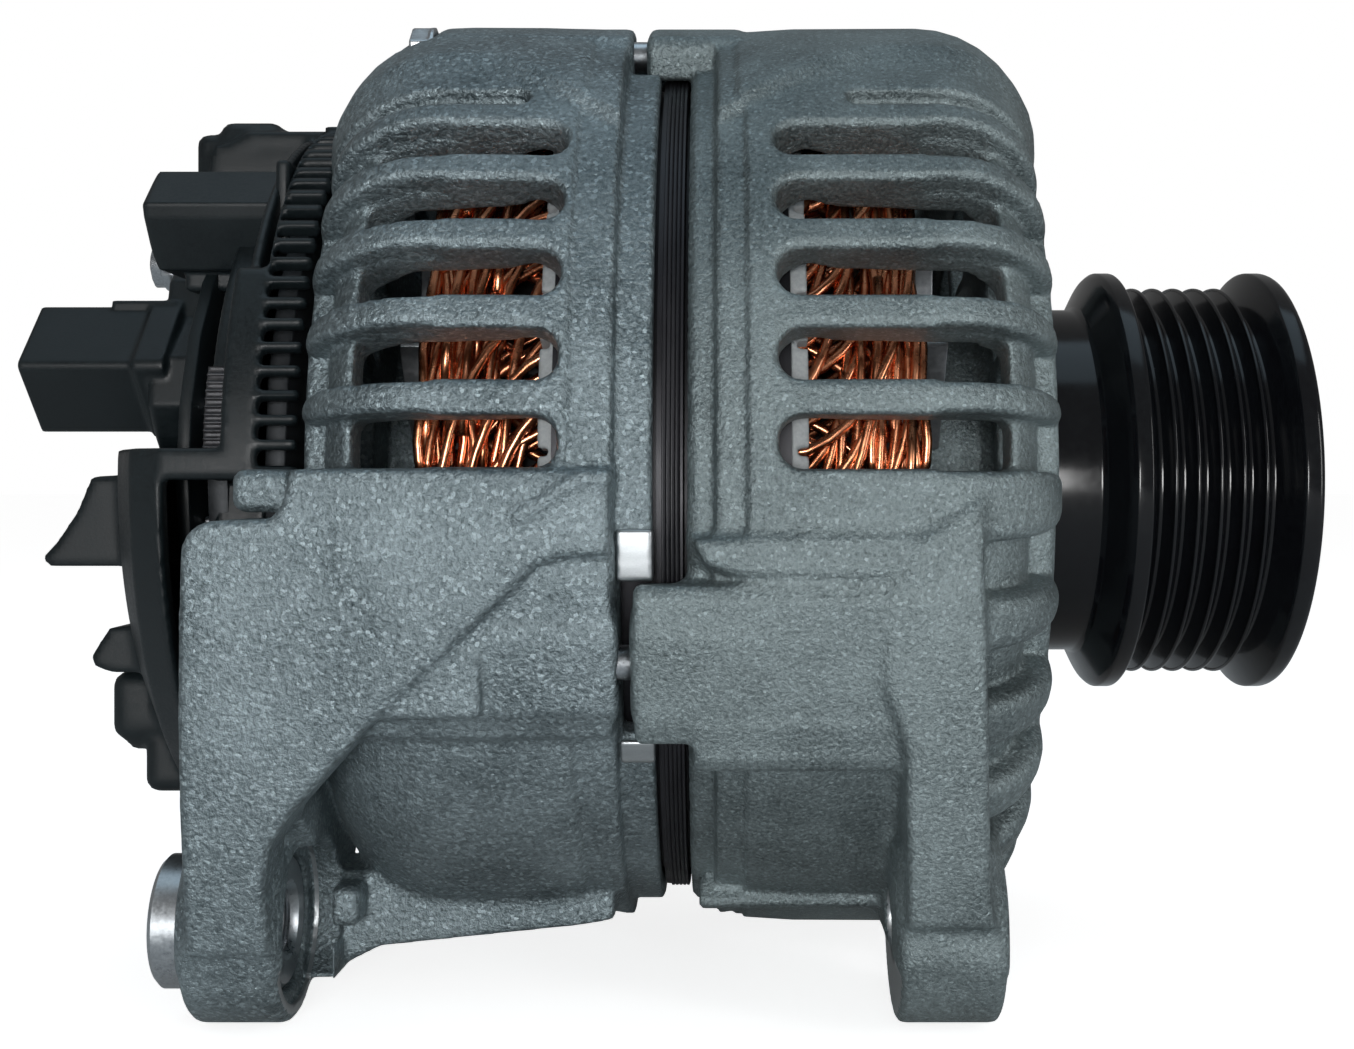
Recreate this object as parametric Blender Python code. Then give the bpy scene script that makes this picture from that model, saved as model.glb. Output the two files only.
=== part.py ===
"""A belt-driven car alternator, modelled in its working position.

The shaft lies along X with the pulley at +X. The origin is the centre of the shaft's flat
front end. The pivot lugs are on the -Y side. Lengths are in millimetres up to finish(),
which scales each mesh to metres. An angle counts from -Y, turning up towards +Z.
"""

from math import cos, hypot, pi, radians, sin

import bmesh
import bpy
from mathutils import Matrix, Vector

GAP = 0.3  # clearance kept between neighbouring pieces

# Stations along the shaft, from its front end.
PULLEY_FRONT = 2.1
PULLEY_BACK = -42.2
NUT_SEAT = -18.0
FRONT_FACE = -44.0
FRONT_HUB_BACK = -60.5
FRONT_BRACKET_BACK = -96.3
BAND_FRONT, BAND_BACK = -96.8, -100.5
REAR_BRACKET_FRONT = -101.0
REAR_FACE = -150.5
REAR_HUB_BACK = -151.1
COVER_BACK = -186.5
SHAFT_BACK = -178.8

# Housing.
HOUSING_RADIUS = 75.0
RIM_RADIUS = 71.5
SEAT_RADIUS = 67.0
WALL = 5.0
FACE_EDGE_RADIUS = 60.0
WINDOW_OUTER, WINDOW_INNER = 50.0, 36.0
SHELL_BORE = 31.0
SLOT_COUNT, SLOT_PITCH, SLOT_WIDTH, FIRST_SLOT = 6, 9.2, 5.2, 1.2
QUARTER = 90.0
PLAIN_STEPS = 4

# Through bolts.
BOLT_CIRCLE = 72.5
BOLT_ANGLES = (-20.0, 70.0, 160.0, 250.0)
BOLT_RADIUS, BOLT_HOLE, BOSS_RADIUS = 2.5, 2.9, 5.2
HEAD_RADIUS, HEAD_HEIGHT, HEAD_POCKET = 4.5, 4.0, 5.0
BOLT_FRONT, BOLT_BACK = -70.0, -137.3
FRONT_BOSS = (-103.4, -66.0)
REAR_BOSS = (-137.0, -105.4)

# Pivot lugs and arms.
LUG_Y, LUG_Z, LUG_RADIUS = -48.0, -65.0, 14.4
FRONT_LUG = (-66.3, -51.5)
REAR_LUG = (-168.0, -154.0)
FRONT_LUG_HOLE = 5.25
BUSH_RADIUS, BUSH_BORE = 9.7, 5.0
BUSH = (-173.5, -155.5)
ARM_OUTER_Y, ARM_INNER_Y = -75.5, -60.0
ARM_KNEE_Z = -27.0
ARM_FOOT_Y, ARM_FOOT_Z = -62.6, -62.0

# Electrical machine.
CORE = (-115.0, -82.0)
CORE_BORE, CORE_RADIUS, BAND_RADIUS = 51.0, 66.5, 69.3
STATOR_SLOTS, SLOT_HALF_WIDTH, SLOT_BOTTOM = 36, 1.5, 63.5
WINDING_INNER, WINDING_OUTER = 53.0, 63.5
WINDING_FRONT, WINDING_BACK = -62.6, -134.4
ROTOR_RADIUS = 50.5
CLAWS = 6
FRONT_POLE = (-84.0, -72.0)
REAR_POLE = (-125.5, -113.5)
CLAW_REACH = 39.0
CLAW_ROOT, CLAW_WIDTH = 30.0, 12.0  # radius, and degrees each side of the middle
SHAFT_RADIUS = 8.5
REAR_SHAFT_RADIUS = 7.5
TAIL_RADIUS = 4.0
BORE = SHAFT_RADIUS + GAP
FAN_BLADES = 11
FAN_DISC, FAN_HEIGHT, FAN_SWEEP = 1.5, 14.0, 16.0
BLADE_INNER, BLADE_OUTER = 34.0, 49.0

# Pulley, six-groove belt.
GROOVES, GROOVE_PITCH = 6, 3.56
FLANGE_RADIUS, RIDGE_RADIUS, ROOT_RADIUS, PULLEY_HUB = 36.3, 33.7, 30.8, 29.7
FIRST_GROOVE = -2.6

# Rear electrical parts.
NEGATIVE_SINK = (-157.3, -154.3)
POSITIVE_SINK = (-168.0, -165.0)
CONNECTION = (-173.5, -171.5)
SINK_INNER, SINK_OUTER = 26.0, 55.0
POSITIVE_OUTER, PLATE_OUTER = 46.5, 44.0
COVER_RADIUS, COVER_WALL = 60.0, 2.5
POST_ANGLES, POST_CIRCLE, POST_RADIUS = (-57.0, 140.0, 232.0), 45.0, 4.5
STUD_ANGLE, STUD_CIRCLE, STUD_RADIUS, STUD_BACK = 115.0, 44.0, 4.0, -197.0
SOCKET_Y, SOCKET_Z, SOCKET_SIDE, SOCKET_WALL = -14.0, 18.5, 15.5, 1.6
SOCKET = (-205.4, -188.0)
REGULATOR_SCREWS = ((5.5, 28.5), (5.0, 5.0))
BRUSH_STATIONS = (-164.0, -174.0)
BRUSH_X, BRUSH_Y, BRUSH_TOP = 4.0, 6.0, 24.0
RING_RADIUS = 8.0
SPRING_TOP = 34.0

MATERIALS = {
    "cast_aluminium": ((0.52, 0.54, 0.55), 0.55, 0.9),
    "machined_aluminium": ((0.72, 0.73, 0.74), 0.35, 1.0),
    "black_coat": ((0.012, 0.012, 0.014), 0.2, 0.2),
    "black_plastic": ((0.02, 0.024, 0.022), 0.5, 0.0),
    "laminated_steel": ((0.03, 0.03, 0.032), 0.45, 0.7),
    "pole_steel": ((0.16, 0.16, 0.17), 0.5, 0.9),
    "copper_wire": ((0.62, 0.24, 0.1), 0.3, 0.9),
    "bearing_steel": ((0.6, 0.6, 0.62), 0.2, 1.0),
    "zinc_steel": ((0.66, 0.67, 0.69), 0.3, 1.0),
    "bobbin_plastic": ((0.7, 0.66, 0.55), 0.5, 0.0),
    "graphite": ((0.05, 0.05, 0.05), 0.6, 0.2),
}


def material(slot):
    """The Principled material of a slot, made once."""
    found = bpy.data.materials.get(slot)
    if found:
        return found
    colour, roughness, metallic = MATERIALS[slot]
    made = bpy.data.materials.new(slot)
    made.use_nodes = True
    shader = made.node_tree.nodes["Principled BSDF"]
    shader.inputs["Base Color"].default_value = (*colour, 1.0)
    shader.inputs["Roughness"].default_value = roughness
    shader.inputs["Metallic"].default_value = metallic
    return made


def at(x, radius, degrees, y=0.0, z=0.0):
    """The point at this station, radius and angle round an axis along X through (y, z)."""
    angle = radians(degrees)
    return Vector((x, y - radius * cos(angle), z + radius * sin(angle)))


def shape(bm):
    """A working object from a closed mesh, its faces turned outwards."""
    bmesh.ops.recalc_face_normals(bm, faces=bm.faces)
    mesh = bpy.data.meshes.new("shape")
    bm.to_mesh(mesh)
    bm.free()
    made = bpy.data.objects.new("shape", mesh)
    bpy.context.scene.collection.objects.link(made)
    return made


def is_closed(mesh):
    """Whether every edge of the mesh has exactly two faces."""
    bm = bmesh.new()
    bm.from_mesh(mesh)
    closed = all(len(edge.link_faces) == 2 for edge in bm.edges)
    bm.free()
    return closed


def combine(target, tools, operation):
    """Joins or cuts the target with each tool, and removes the tools. The exact solver comes
    first, and the manifold solver takes a join or cut that the exact one leaves open."""
    for tool in tools:
        for solver in ("EXACT", "MANIFOLD"):
            modifier = target.modifiers.new("combine", "BOOLEAN")
            modifier.operation = operation
            modifier.solver = solver
            modifier.object = tool
            graph = bpy.context.evaluated_depsgraph_get()
            result = bpy.data.meshes.new_from_object(target.evaluated_get(graph))
            target.modifiers.clear()
            if is_closed(result):
                break
        target.data = result
        bpy.data.objects.remove(tool)
    return target


def join(target, *tools):
    return combine(target, tools, "UNION")


def cut(target, *tools):
    return combine(target, tools, "DIFFERENCE")


def finish(name, made, slot, origin=(0.0, 0.0, 0.0)):
    """Names the piece, puts its origin in place, scales it to metres and gives it its material."""
    made.name = name
    made.data.name = name
    made.data.transform(Matrix.Translation(-Vector(origin)))
    made.data.transform(Matrix.Scale(0.001, 4))
    made.location = Vector(origin) * 0.001
    made.data.materials.clear()
    made.data.materials.append(material(slot))
    made.data.shade_smooth()
    made.data.set_sharp_from_angle(angle=radians(32))
    return made


def turned(profile, segments=28, y=0.0, z=0.0, start=0.0):
    """A closed solid turned about an axis along X. A profile that starts and ends at radius 0
    is solid in the middle, and any other profile closes on itself round a bore."""
    bm = bmesh.new()
    rings = []
    for x, radius in profile:
        if radius == 0.0:
            rings.append([bm.verts.new((x, y, z))])
            continue
        steps = (start + 360.0 * k / segments for k in range(segments))
        rings.append([bm.verts.new(at(x, radius, a, y, z)) for a in steps])
    solid = profile[0][1] == 0.0
    followers = rings[1:] if solid else rings[1:] + rings[:1]
    for ring, follower in zip(rings, followers):
        for k in range(segments):
            nxt = (k + 1) % segments
            corners = [ring[k % len(ring)], ring[nxt % len(ring)]]
            corners += [follower[nxt % len(follower)], follower[k % len(follower)]]
            bm.faces.new(list(dict.fromkeys(corners)))
    return shape(bm)


def rod(x0, x1, radius, y=0.0, z=0.0, segments=16, start=0.0):
    return turned([(x0, 0.0), (x0, radius), (x1, radius), (x1, 0.0)], segments, y, z, start)


def tube(x0, x1, inner, outer, y=0.0, z=0.0, segments=28):
    profile = [(x0, inner), (x0, outer), (x1, outer), (x1, inner)]
    return turned(profile, segments, y, z)


def hull(points):
    """The convex solid round these points."""
    bm = bmesh.new()
    for point in points:
        bm.verts.new(point)
    found = bmesh.ops.convex_hull(bm, input=bm.verts)
    bmesh.ops.delete(bm, geom=found["geom_interior"], context="VERTS")
    return shape(bm)


def block(x, y, z):
    return hull([(i, j, k) for i in x for j in y for k in z])


def slab(outline, near, far):
    """A plate across Y with this outline in X and Z."""
    bm = bmesh.new()
    loops = [[bm.verts.new((x, y, z)) for x, z in outline] for y in (near, far)]
    bm.faces.new(loops[0])
    bm.faces.new(loops[1][::-1])
    count = len(outline)
    for k in range(count):
        nxt = (k + 1) % count
        bm.faces.new((loops[0][k], loops[1][k], loops[1][nxt], loops[0][nxt]))
    return shape(bm)


def arc(x, z, radius, first, last, steps):
    """Points of an arc in X and Z, its angles in degrees from +X towards +Z."""
    angles = (radians(first + (last - first) * k / steps) for k in range(steps + 1))
    return [(x + radius * cos(a), z + radius * sin(a)) for a in angles]


def slot_angles():
    """The angles of the housing's grid: both edges of each slot, then plain steps to the next quarter."""
    angles = []
    for quarter in range(4):
        base = quarter * QUARTER + FIRST_SLOT
        for k in range(SLOT_COUNT):
            angles += [base + k * SLOT_PITCH, base + k * SLOT_PITCH + SLOT_WIDTH]
        plain = QUARTER - (SLOT_COUNT - 1) * SLOT_PITCH - SLOT_WIDTH
        last = angles[-1]
        angles += [last + plain * k / PLAIN_STEPS for k in range(1, PLAIN_STEPS)]
    return angles


def vented_shell(outer, inner, slot_row, window_row):
    """A bracket's cast shell between two profiles of equal length, open at its slots and windows."""
    angles = slot_angles()
    columns, rows = len(angles), len(outer) - 1
    per_quarter = columns // 4
    bm = bmesh.new()
    sides = []
    for profile in (outer, inner):
        sides.append([[bm.verts.new(at(x, r, a)) for a in angles] for x, r in profile])

    def is_open(row, column):
        quarter, place = divmod(column % columns, per_quarter)
        if row in slot_row and quarter < 3:
            return place % 2 == 0 and place < 2 * SLOT_COUNT - 2
        return row == window_row and place < 2 * SLOT_COUNT - 1 and place != 5

    for row in range(rows):
        for column in range(columns):
            if is_open(row, column):
                continue
            nxt = (column + 1) % columns
            for side in sides:
                bm.faces.new((side[row][column], side[row][nxt], side[row + 1][nxt], side[row + 1][column]))
            edges = (
                (row - 1, column, (row, column), (row, nxt)),
                (row + 1, column, (row + 1, column), (row + 1, nxt)),
                (row, column - 1, (row, column), (row + 1, column)),
                (row, column + 1, (row, nxt), (row + 1, nxt)),
            )
            for beside, across, (i, j), (k, m) in edges:
                if 0 <= beside < rows and not is_open(beside, across):
                    continue
                bm.faces.new((sides[0][i][j], sides[0][k][m], sides[1][k][m], sides[1][i][j]))
    loose = [v for v in bm.verts if not v.link_faces]
    bmesh.ops.delete(bm, geom=loose, context="VERTS")
    return shape(bm)


def corner(x_start, x_face, share):
    """A point on the rounded corner between the barrel and the end face, share 0 to 1."""
    angle = share * pi / 2
    rise = HOUSING_RADIUS - FACE_EDGE_RADIUS
    return x_start + (x_face - x_start) * sin(angle), FACE_EDGE_RADIUS + rise * cos(angle)


def wall_cutter(open_end, turn, face):
    """Clears a boss or an arm away from inside a bracket, leaving the part that roots in its wall."""
    depth = 2.5
    toward = 1.0 if open_end > face else -1.0
    profile = [(open_end, 0.0), (open_end, HOUSING_RADIUS - depth)]
    for step in range(4):
        x, radius = corner(turn, face, step / 3)
        profile.append((x + toward * depth * step / 3, radius - depth))
    profile.append((face + toward * depth, 0.0))
    return turned(profile, 40)


def on_bolt_circle(angle):
    place = at(0.0, BOLT_CIRCLE, angle)
    return place.y, place.z


def drive_end_bracket():
    turn = -60.0
    outer = [
        (FRONT_BRACKET_BACK, RIM_RADIUS),
        (-91.6, HOUSING_RADIUS - 1.5),
        (-84.0, HOUSING_RADIUS),
        corner(turn, FRONT_FACE, 0.0),
        corner(turn, FRONT_FACE, 1 / 3),
        corner(turn, FRONT_FACE, 2 / 3),
        corner(turn, FRONT_FACE, 1.0),
        (FRONT_FACE, WINDOW_OUTER),
        (FRONT_FACE, WINDOW_INNER),
        (FRONT_FACE, SHELL_BORE),
    ]
    back = FRONT_FACE - WALL
    inner = [
        (FRONT_BRACKET_BACK, SEAT_RADIUS),
        (-91.6, SEAT_RADIUS),
        (-84.0, SEAT_RADIUS),
        (turn, HOUSING_RADIUS - WALL),
        (turn + 5.0, HOUSING_RADIUS - WALL - 1.0),
        (back - 1.5, HOUSING_RADIUS - WALL - 6.0),
        (back, FACE_EDGE_RADIUS - 2.0),
        (back, WINDOW_OUTER),
        (back, WINDOW_INNER),
        (back, SHELL_BORE),
    ]
    made = vented_shell(outer, inner, (2, 3), 7)
    hub = turned(
        [
            (FRONT_FACE + 0.6, 20.0),
            (FRONT_FACE + 0.6, 34.0),
            (back - 0.6, 34.0),
            (back - 0.6, 31.5),
            (FRONT_HUB_BACK, 31.5),
            (FRONT_HUB_BACK, 23.8),
            (-46.2, 23.8),
            (-46.2, 20.0),
        ],
        28,
    )
    join(made, hub)
    for angle in BOLT_ANGLES:
        boss = rod(*FRONT_BOSS, BOSS_RADIUS, *on_bolt_circle(angle), 12)
        join(made, cut(boss, rod(-110.0, -60.0, BAND_RADIUS + 0.5, segments=40)))
    arm = join(rod(*FRONT_LUG, LUG_RADIUS, LUG_Y, LUG_Z, 24), front_arm())
    join(made, cut(arm, wall_cutter(-91.0, turn, FRONT_FACE)))
    cut(made, rod(FRONT_LUG[0] - 1.0, FRONT_LUG[1] + 1.0, FRONT_LUG_HOLE, LUG_Y, LUG_Z))
    for angle in BOLT_ANGLES:
        cut(made, rod(-112.0, BOLT_FRONT + 2.0, BOLT_HOLE, *on_bolt_circle(angle), 8))
    for k in range(4):
        place = at(0.0, 27.6, 45.0 + 90.0 * k)
        cut(made, rod(FRONT_HUB_BACK - 1.0, -52.0, 1.9, place.y, place.z, 12))
    return finish("drive_end_bracket", made, "cast_aluminium")


def front_arm():
    """The web that carries the front lug down the side of the housing."""
    outline = [(-90.0, -7.0), (-57.0, -4.0), (-54.5, -34.0), (-53.0, -58.0)]
    outline += [(-65.5, -58.0), (-65.5, -36.0), (-69.0, -23.0), (-88.0, -14.0)]
    return arm_plate(outline)


def arm_plate(outline):
    """An arm's plate, its outer face upright down to the knee and then leaning in to the lug."""
    ends = (-170.0, -45.0)
    outside = ARM_OUTER_Y - 10.0
    slope = (ARM_FOOT_Y - ARM_OUTER_Y) / (ARM_FOOT_Z - ARM_KNEE_Z)
    bottom = ARM_FOOT_Z - 10.0
    low_y = ARM_OUTER_Y + slope * (bottom - ARM_KNEE_Z)
    section = [(outside, ARM_KNEE_Z), (ARM_OUTER_Y - GAP, ARM_KNEE_Z), (ARM_OUTER_Y, ARM_KNEE_Z - 1.0)]
    section += [(low_y, bottom), (outside, bottom)]
    lean = hull([(x, y, z) for x in ends for y, z in section])
    return cut(slab(outline, ARM_OUTER_Y, ARM_INNER_Y), lean)


def slip_ring_end_bracket():
    turn = -132.0
    outer = [
        (REAR_BRACKET_FRONT, RIM_RADIUS),
        (-104.6, RIM_RADIUS),
        (-105.2, HOUSING_RADIUS - 1.5),
        (-114.0, HOUSING_RADIUS),
        corner(turn, REAR_FACE, 0.0),
        corner(turn, REAR_FACE, 1 / 3),
        corner(turn, REAR_FACE, 2 / 3),
        corner(turn, REAR_FACE, 1.0),
        (REAR_FACE, WINDOW_OUTER),
        (REAR_FACE, WINDOW_INNER),
        (REAR_FACE, SHELL_BORE),
    ]
    front = REAR_FACE + WALL
    inner = [
        (REAR_BRACKET_FRONT, SEAT_RADIUS),
        (-104.6, SEAT_RADIUS),
        (-105.2, SEAT_RADIUS),
        (-114.0, SEAT_RADIUS),
        (turn, HOUSING_RADIUS - WALL),
        (turn - 6.0, HOUSING_RADIUS - WALL - 1.0),
        (front + 2.0, HOUSING_RADIUS - WALL - 7.0),
        (front, FACE_EDGE_RADIUS - 2.0),
        (front, WINDOW_OUTER),
        (front, WINDOW_INNER),
        (front, SHELL_BORE),
    ]
    made = vented_shell(outer, inner, (3, 4), 8)
    hub = turned(
        [
            (REAR_HUB_BACK, 19.5),
            (REAR_HUB_BACK, 34.0),
            (front + 0.6, 34.0),
            (front + 0.6, 25.0),
            (-139.5, 25.0),
            (-139.5, 19.5),
        ],
        28,
    )
    join(made, hub)
    for angle in BOLT_ANGLES:
        boss = rod(*REAR_BOSS, BOSS_RADIUS, *on_bolt_circle(angle), 12)
        join(made, cut(boss, rod(-140.0, -108.0, BAND_RADIUS + 0.5, segments=40)))
    arm = join(rod(*REAR_LUG, LUG_RADIUS, LUG_Y, LUG_Z, 24), rear_arm(), rear_gusset())
    join(made, cut(arm, wall_cutter(-104.0, turn, REAR_FACE)))
    for angle in POST_ANGLES:
        place = at(0.0, POST_CIRCLE, angle)
        post = rod(COVER_BACK + COVER_WALL + GAP, REAR_FACE + 2.0, POST_RADIUS, place.y, place.z, 16)
        join(made, post)
        cut(made, rod(-186.0, -172.0, 2.5, place.y, place.z, 12))
    cut(made, rod(REAR_LUG[0] - 1.0, REAR_LUG[1] + 1.0, BUSH_RADIUS + GAP, LUG_Y, LUG_Z, 24))
    for angle in BOLT_ANGLES:
        y, z = on_bolt_circle(angle)
        cut(made, rod(REAR_BOSS[1] + GAP, -100.0, BOSS_RADIUS + 0.8, y, z, 12))
        cut(made, rod(-140.0, -100.0, BOLT_HOLE, y, z, 10))
        cut(made, rod(REAR_HUB_BACK - 5.0, BOLT_BACK + GAP, HEAD_POCKET, y, z, 12))
    return finish("slip_ring_end_bracket", made, "cast_aluminium")


def rear_arm():
    """The broad flat arm that reaches back to the rear lug."""
    outline = arc(-158.4, -9.9, 4.5, 175.0, 90.0, 4)
    outline += [(-150.8, -4.7), (-148.2, 0.3), (-106.3, 0.0), (-106.6, -8.7), (-116.0, -12.0)]
    outline += [(-137.4, -33.5), (-149.5, -46.9), (-154.4, -53.0), (-154.4, -66.0), (-165.3, -66.0)]
    return arm_plate(outline)


def rear_gusset():
    """The wedge between the rear lug and the underside of the housing."""
    lug_end = [(-156.0, y, z) for y, z in ((-60.0, -56.0), (-57.0, -74.0), (-36.0, -70.0), (-36.0, -58.0))]
    section = ((-52.0, -53.0), (-46.0, -60.0), (-34.0, -67.0), (-30.0, -60.0))
    barrel_end = [(-132.0, y, z) for y, z in section]
    return hull(lug_end + barrel_end)


def stator_core():
    """The stack of laminations. Its bore has the winding slots, and its rim shows between the brackets."""
    pitch = 360.0 / STATOR_SLOTS
    rim, bore = [], []
    for k in range(STATOR_SLOTS):
        middle = k * pitch
        mouth = SLOT_HALF_WIDTH / CORE_BORE * 180 / pi
        floor = SLOT_HALF_WIDTH / SLOT_BOTTOM * 180 / pi
        corners = ((CORE_BORE, -mouth), (SLOT_BOTTOM, -floor), (SLOT_BOTTOM, floor), (CORE_BORE, mouth))
        for radius, angle in corners:
            bore.append((radius, middle + angle))
            rim.append(middle + angle * (1.6 if radius == CORE_BORE else 0.7))
    bm = bmesh.new()
    rings = [[bm.verts.new(at(x, CORE_RADIUS, a)) for a in rim] for x in CORE]
    rings += [[bm.verts.new(at(x, r, a)) for r, a in bore] for x in reversed(CORE)]
    for ring, follower in zip(rings, rings[1:] + rings[:1]):
        for k in range(len(ring)):
            nxt = (k + 1) % len(ring)
            bm.faces.new((ring[k], ring[nxt], follower[nxt], follower[k]))
    made = join(shape(bm), tube(BAND_BACK, BAND_FRONT, SLOT_BOTTOM + 1.5, BAND_RADIUS, segments=44))
    return finish("stator_core", made, "laminated_steel")


def stator_winding():
    """The copper end turns at both ends of the core, joined by the bars in its slots."""
    made = tube(CORE[1] + GAP, WINDING_FRONT, WINDING_INNER, WINDING_OUTER, segments=36)
    back = tube(WINDING_BACK, CORE[0] - GAP, WINDING_INNER, WINDING_OUTER, segments=36)
    bars = []
    for k in range(0, STATOR_SLOTS, 6):
        angle = 360.0 * k / STATOR_SLOTS
        ends = (CORE[0] - 2.0, CORE[1] + 2.0)
        corners = []
        for radius in (54.0, 62.5):
            turn = 0.9 / radius * 180 / pi
            corners += [at(x, radius, angle + side * turn) for x in ends for side in (-1, 1)]
        bars.append(hull(corners))
    join(made, bars[0], back, *bars[1:])
    return finish("stator_winding", made, "copper_wire")


def claw_pole(name, disc, direction, first_angle, core_reach):
    """A pole piece with six claws. Direction is the way along X that its claws point."""
    root = disc[0] if direction < 0 else disc[1]
    made = tube(*disc, BORE, 33.0, segments=24)
    tip = root + direction * CLAW_REACH
    far = disc[1] if direction < 0 else disc[0]
    for k in range(CLAWS):
        angle = first_angle + 60.0 * k
        arm = [at(x, ROTOR_RADIUS, angle) for x in disc]
        for radius, width in ((CLAW_ROOT, 17.0), (ROTOR_RADIUS - 0.4, CLAW_WIDTH)):
            arm += [at(x, radius, angle + s * width) for x in disc for s in (-1, 1)]
        claw = []
        sections = ((far, CLAW_WIDTH, 43.5), (root, CLAW_WIDTH, 43.5), (tip, CLAW_WIDTH / 2, 48.0))
        for x, width, inner in sections:
            claw += [at(x, inner, angle + s * width) for s in (-1, 1)]
            claw += [at(x, ROTOR_RADIUS, angle + s * width) for s in (-1, 0, 1)]
        join(made, hull(arm), hull(claw))
    if core_reach:
        join(made, tube(root + core_reach, root + 1.0, BORE, 26.0, segments=24))
        cut(made, rod(root + core_reach - 1.0, disc[1] + 1.0, BORE, segments=24))
    return finish(name, made, "pole_steel")


def fan(name, disc_front, direction):
    """A pressed disc with blades standing along X."""
    ends = sorted((disc_front, disc_front + direction * FAN_DISC))
    made = tube(*ends, BORE, BLADE_OUTER - 1.0, segments=2 * FAN_BLADES)
    for k in range(FAN_BLADES):
        angle = 360.0 * k / FAN_BLADES + 8.0
        foot = disc_front + direction * 0.5
        tip = disc_front + direction * FAN_HEIGHT
        blade = [at(x, BLADE_INNER, angle + turn) for x in (foot, tip) for turn in (0.0, 2.6)]
        blade += [at(x, BLADE_OUTER, angle + FAN_SWEEP + turn) for x in (foot, tip) for turn in (0.0, 1.8)]
        join(made, hull(blade))
    return finish(name, made, "zinc_steel")


def pulley():
    profile = [
        (NUT_SEAT, BORE),
        (NUT_SEAT, 25.0),
        (PULLEY_FRONT - 1.0, 26.0),
        (PULLEY_FRONT, 27.0),
        (PULLEY_FRONT, FLANGE_RADIUS - 0.7),
        (PULLEY_FRONT - 0.7, FLANGE_RADIUS),
        (FIRST_GROOVE + 1.9, FLANGE_RADIUS),
        (FIRST_GROOVE, RIDGE_RADIUS - 0.4),
    ]
    for k in range(GROOVES):
        start = FIRST_GROOVE - k * GROOVE_PITCH
        profile.append((start - GROOVE_PITCH / 2, ROOT_RADIUS))
        if k < GROOVES - 1:
            profile.append((start - GROOVE_PITCH, RIDGE_RADIUS))
    last = FIRST_GROOVE - GROOVES * GROOVE_PITCH
    profile += [
        (last, RIDGE_RADIUS - 0.4),
        (last - 0.3, FLANGE_RADIUS),
        (last - 3.2, FLANGE_RADIUS),
        (last - 4.0, FLANGE_RADIUS - 0.8),
        (last - 6.6, PULLEY_HUB),
        (PULLEY_BACK + 0.8, PULLEY_HUB),
        (PULLEY_BACK, PULLEY_HUB - 0.8),
        (PULLEY_BACK, 26.5),
        (PULLEY_BACK + 5.0, 25.0),
        (PULLEY_BACK + 5.0, 14.0),
        (PULLEY_BACK, 12.5),
        (-46.2, 12.5),
        (-46.2, BORE),
    ]
    return finish("pulley", turned(profile, 26), "black_coat")


def pulley_nut():
    flat_to_corner = 12.7
    made = rod(NUT_SEAT + GAP, -5.8, flat_to_corner, segments=6)
    join(made, rod(NUT_SEAT + GAP, -15.2, 15.0, segments=32))
    cut(made, rod(NUT_SEAT - 1.0, -4.0, 8.2, segments=24))
    return finish("pulley_nut", made, "zinc_steel")


def rotor_shaft():
    profile = [
        (0.0, 0.0),
        (0.0, 6.9),
        (-1.0, 7.9),
        (NUT_SEAT, 7.9),
        (NUT_SEAT - 0.6, SHAFT_RADIUS),
        (-139.2, SHAFT_RADIUS),
        (-139.2, REAR_SHAFT_RADIUS),
        (-153.0, REAR_SHAFT_RADIUS),
        (-153.0, TAIL_RADIUS),
        (SHAFT_BACK, TAIL_RADIUS),
        (SHAFT_BACK, 0.0),
    ]
    return finish("rotor_shaft", turned(profile, 20), "bearing_steel")


def ball_cage(name, ends, circle, ball, count):
    """The cage ring with its balls, which run round together."""
    middle = sum(ends) / 2
    made = tube(middle - ball * 0.5, middle + ball * 0.5, circle - 0.8, circle + 0.8, segments=16)
    for k in range(count):
        centre = at(middle, circle, 360.0 * k / count)
        bm = bmesh.new()
        where = Matrix.Translation(centre) @ Matrix.Rotation(0.4, 4, "X")
        bmesh.ops.create_icosphere(bm, subdivisions=1, radius=ball, matrix=where)
        join(made, shape(bm))
    return finish(name, made, "bearing_steel")


def bearing(prefix, ends, bore, inner_outer, outer_inner, outer, ball, count):
    finish(prefix + "_inner_ring", tube(*ends, bore, inner_outer), "bearing_steel")
    finish(prefix + "_outer_ring", tube(*ends, outer_inner, outer), "bearing_steel")
    ball_cage(prefix + "_balls", ends, (inner_outer + outer_inner) / 2, ball, count)


def through_bolt(number, angle):
    y, z = on_bolt_circle(angle)
    made = rod(BOLT_BACK - 0.5, BOLT_FRONT, BOLT_RADIUS, y, z, 12)
    join(made, rod(BOLT_BACK - HEAD_HEIGHT, BOLT_BACK, HEAD_RADIUS, y, z, 6, start=angle))
    finish(f"through_bolt_{number}", made, "zinc_steel")


def retainer_plate():
    back, circle = -63.0, 27.6
    places = [at(0.0, circle, 45.0 + 90.0 * k) for k in range(4)]
    made = tube(back, FRONT_HUB_BACK - GAP, 16.5, 31.0)
    for place in places:
        cut(made, rod(back - 1.0, back + 3.0, 2.0, place.y, place.z, 12))
    finish("bearing_retainer_plate", made, "zinc_steel")
    for k, place in enumerate(places):
        made = rod(back - 0.8, back + 10.0, 1.5, place.y, place.z, 12)
        join(made, rod(back - 2.4, back - GAP, 3.2, place.y, place.z, 12))
        finish(f"retainer_screw_{k + 1}", made, "zinc_steel")


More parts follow.
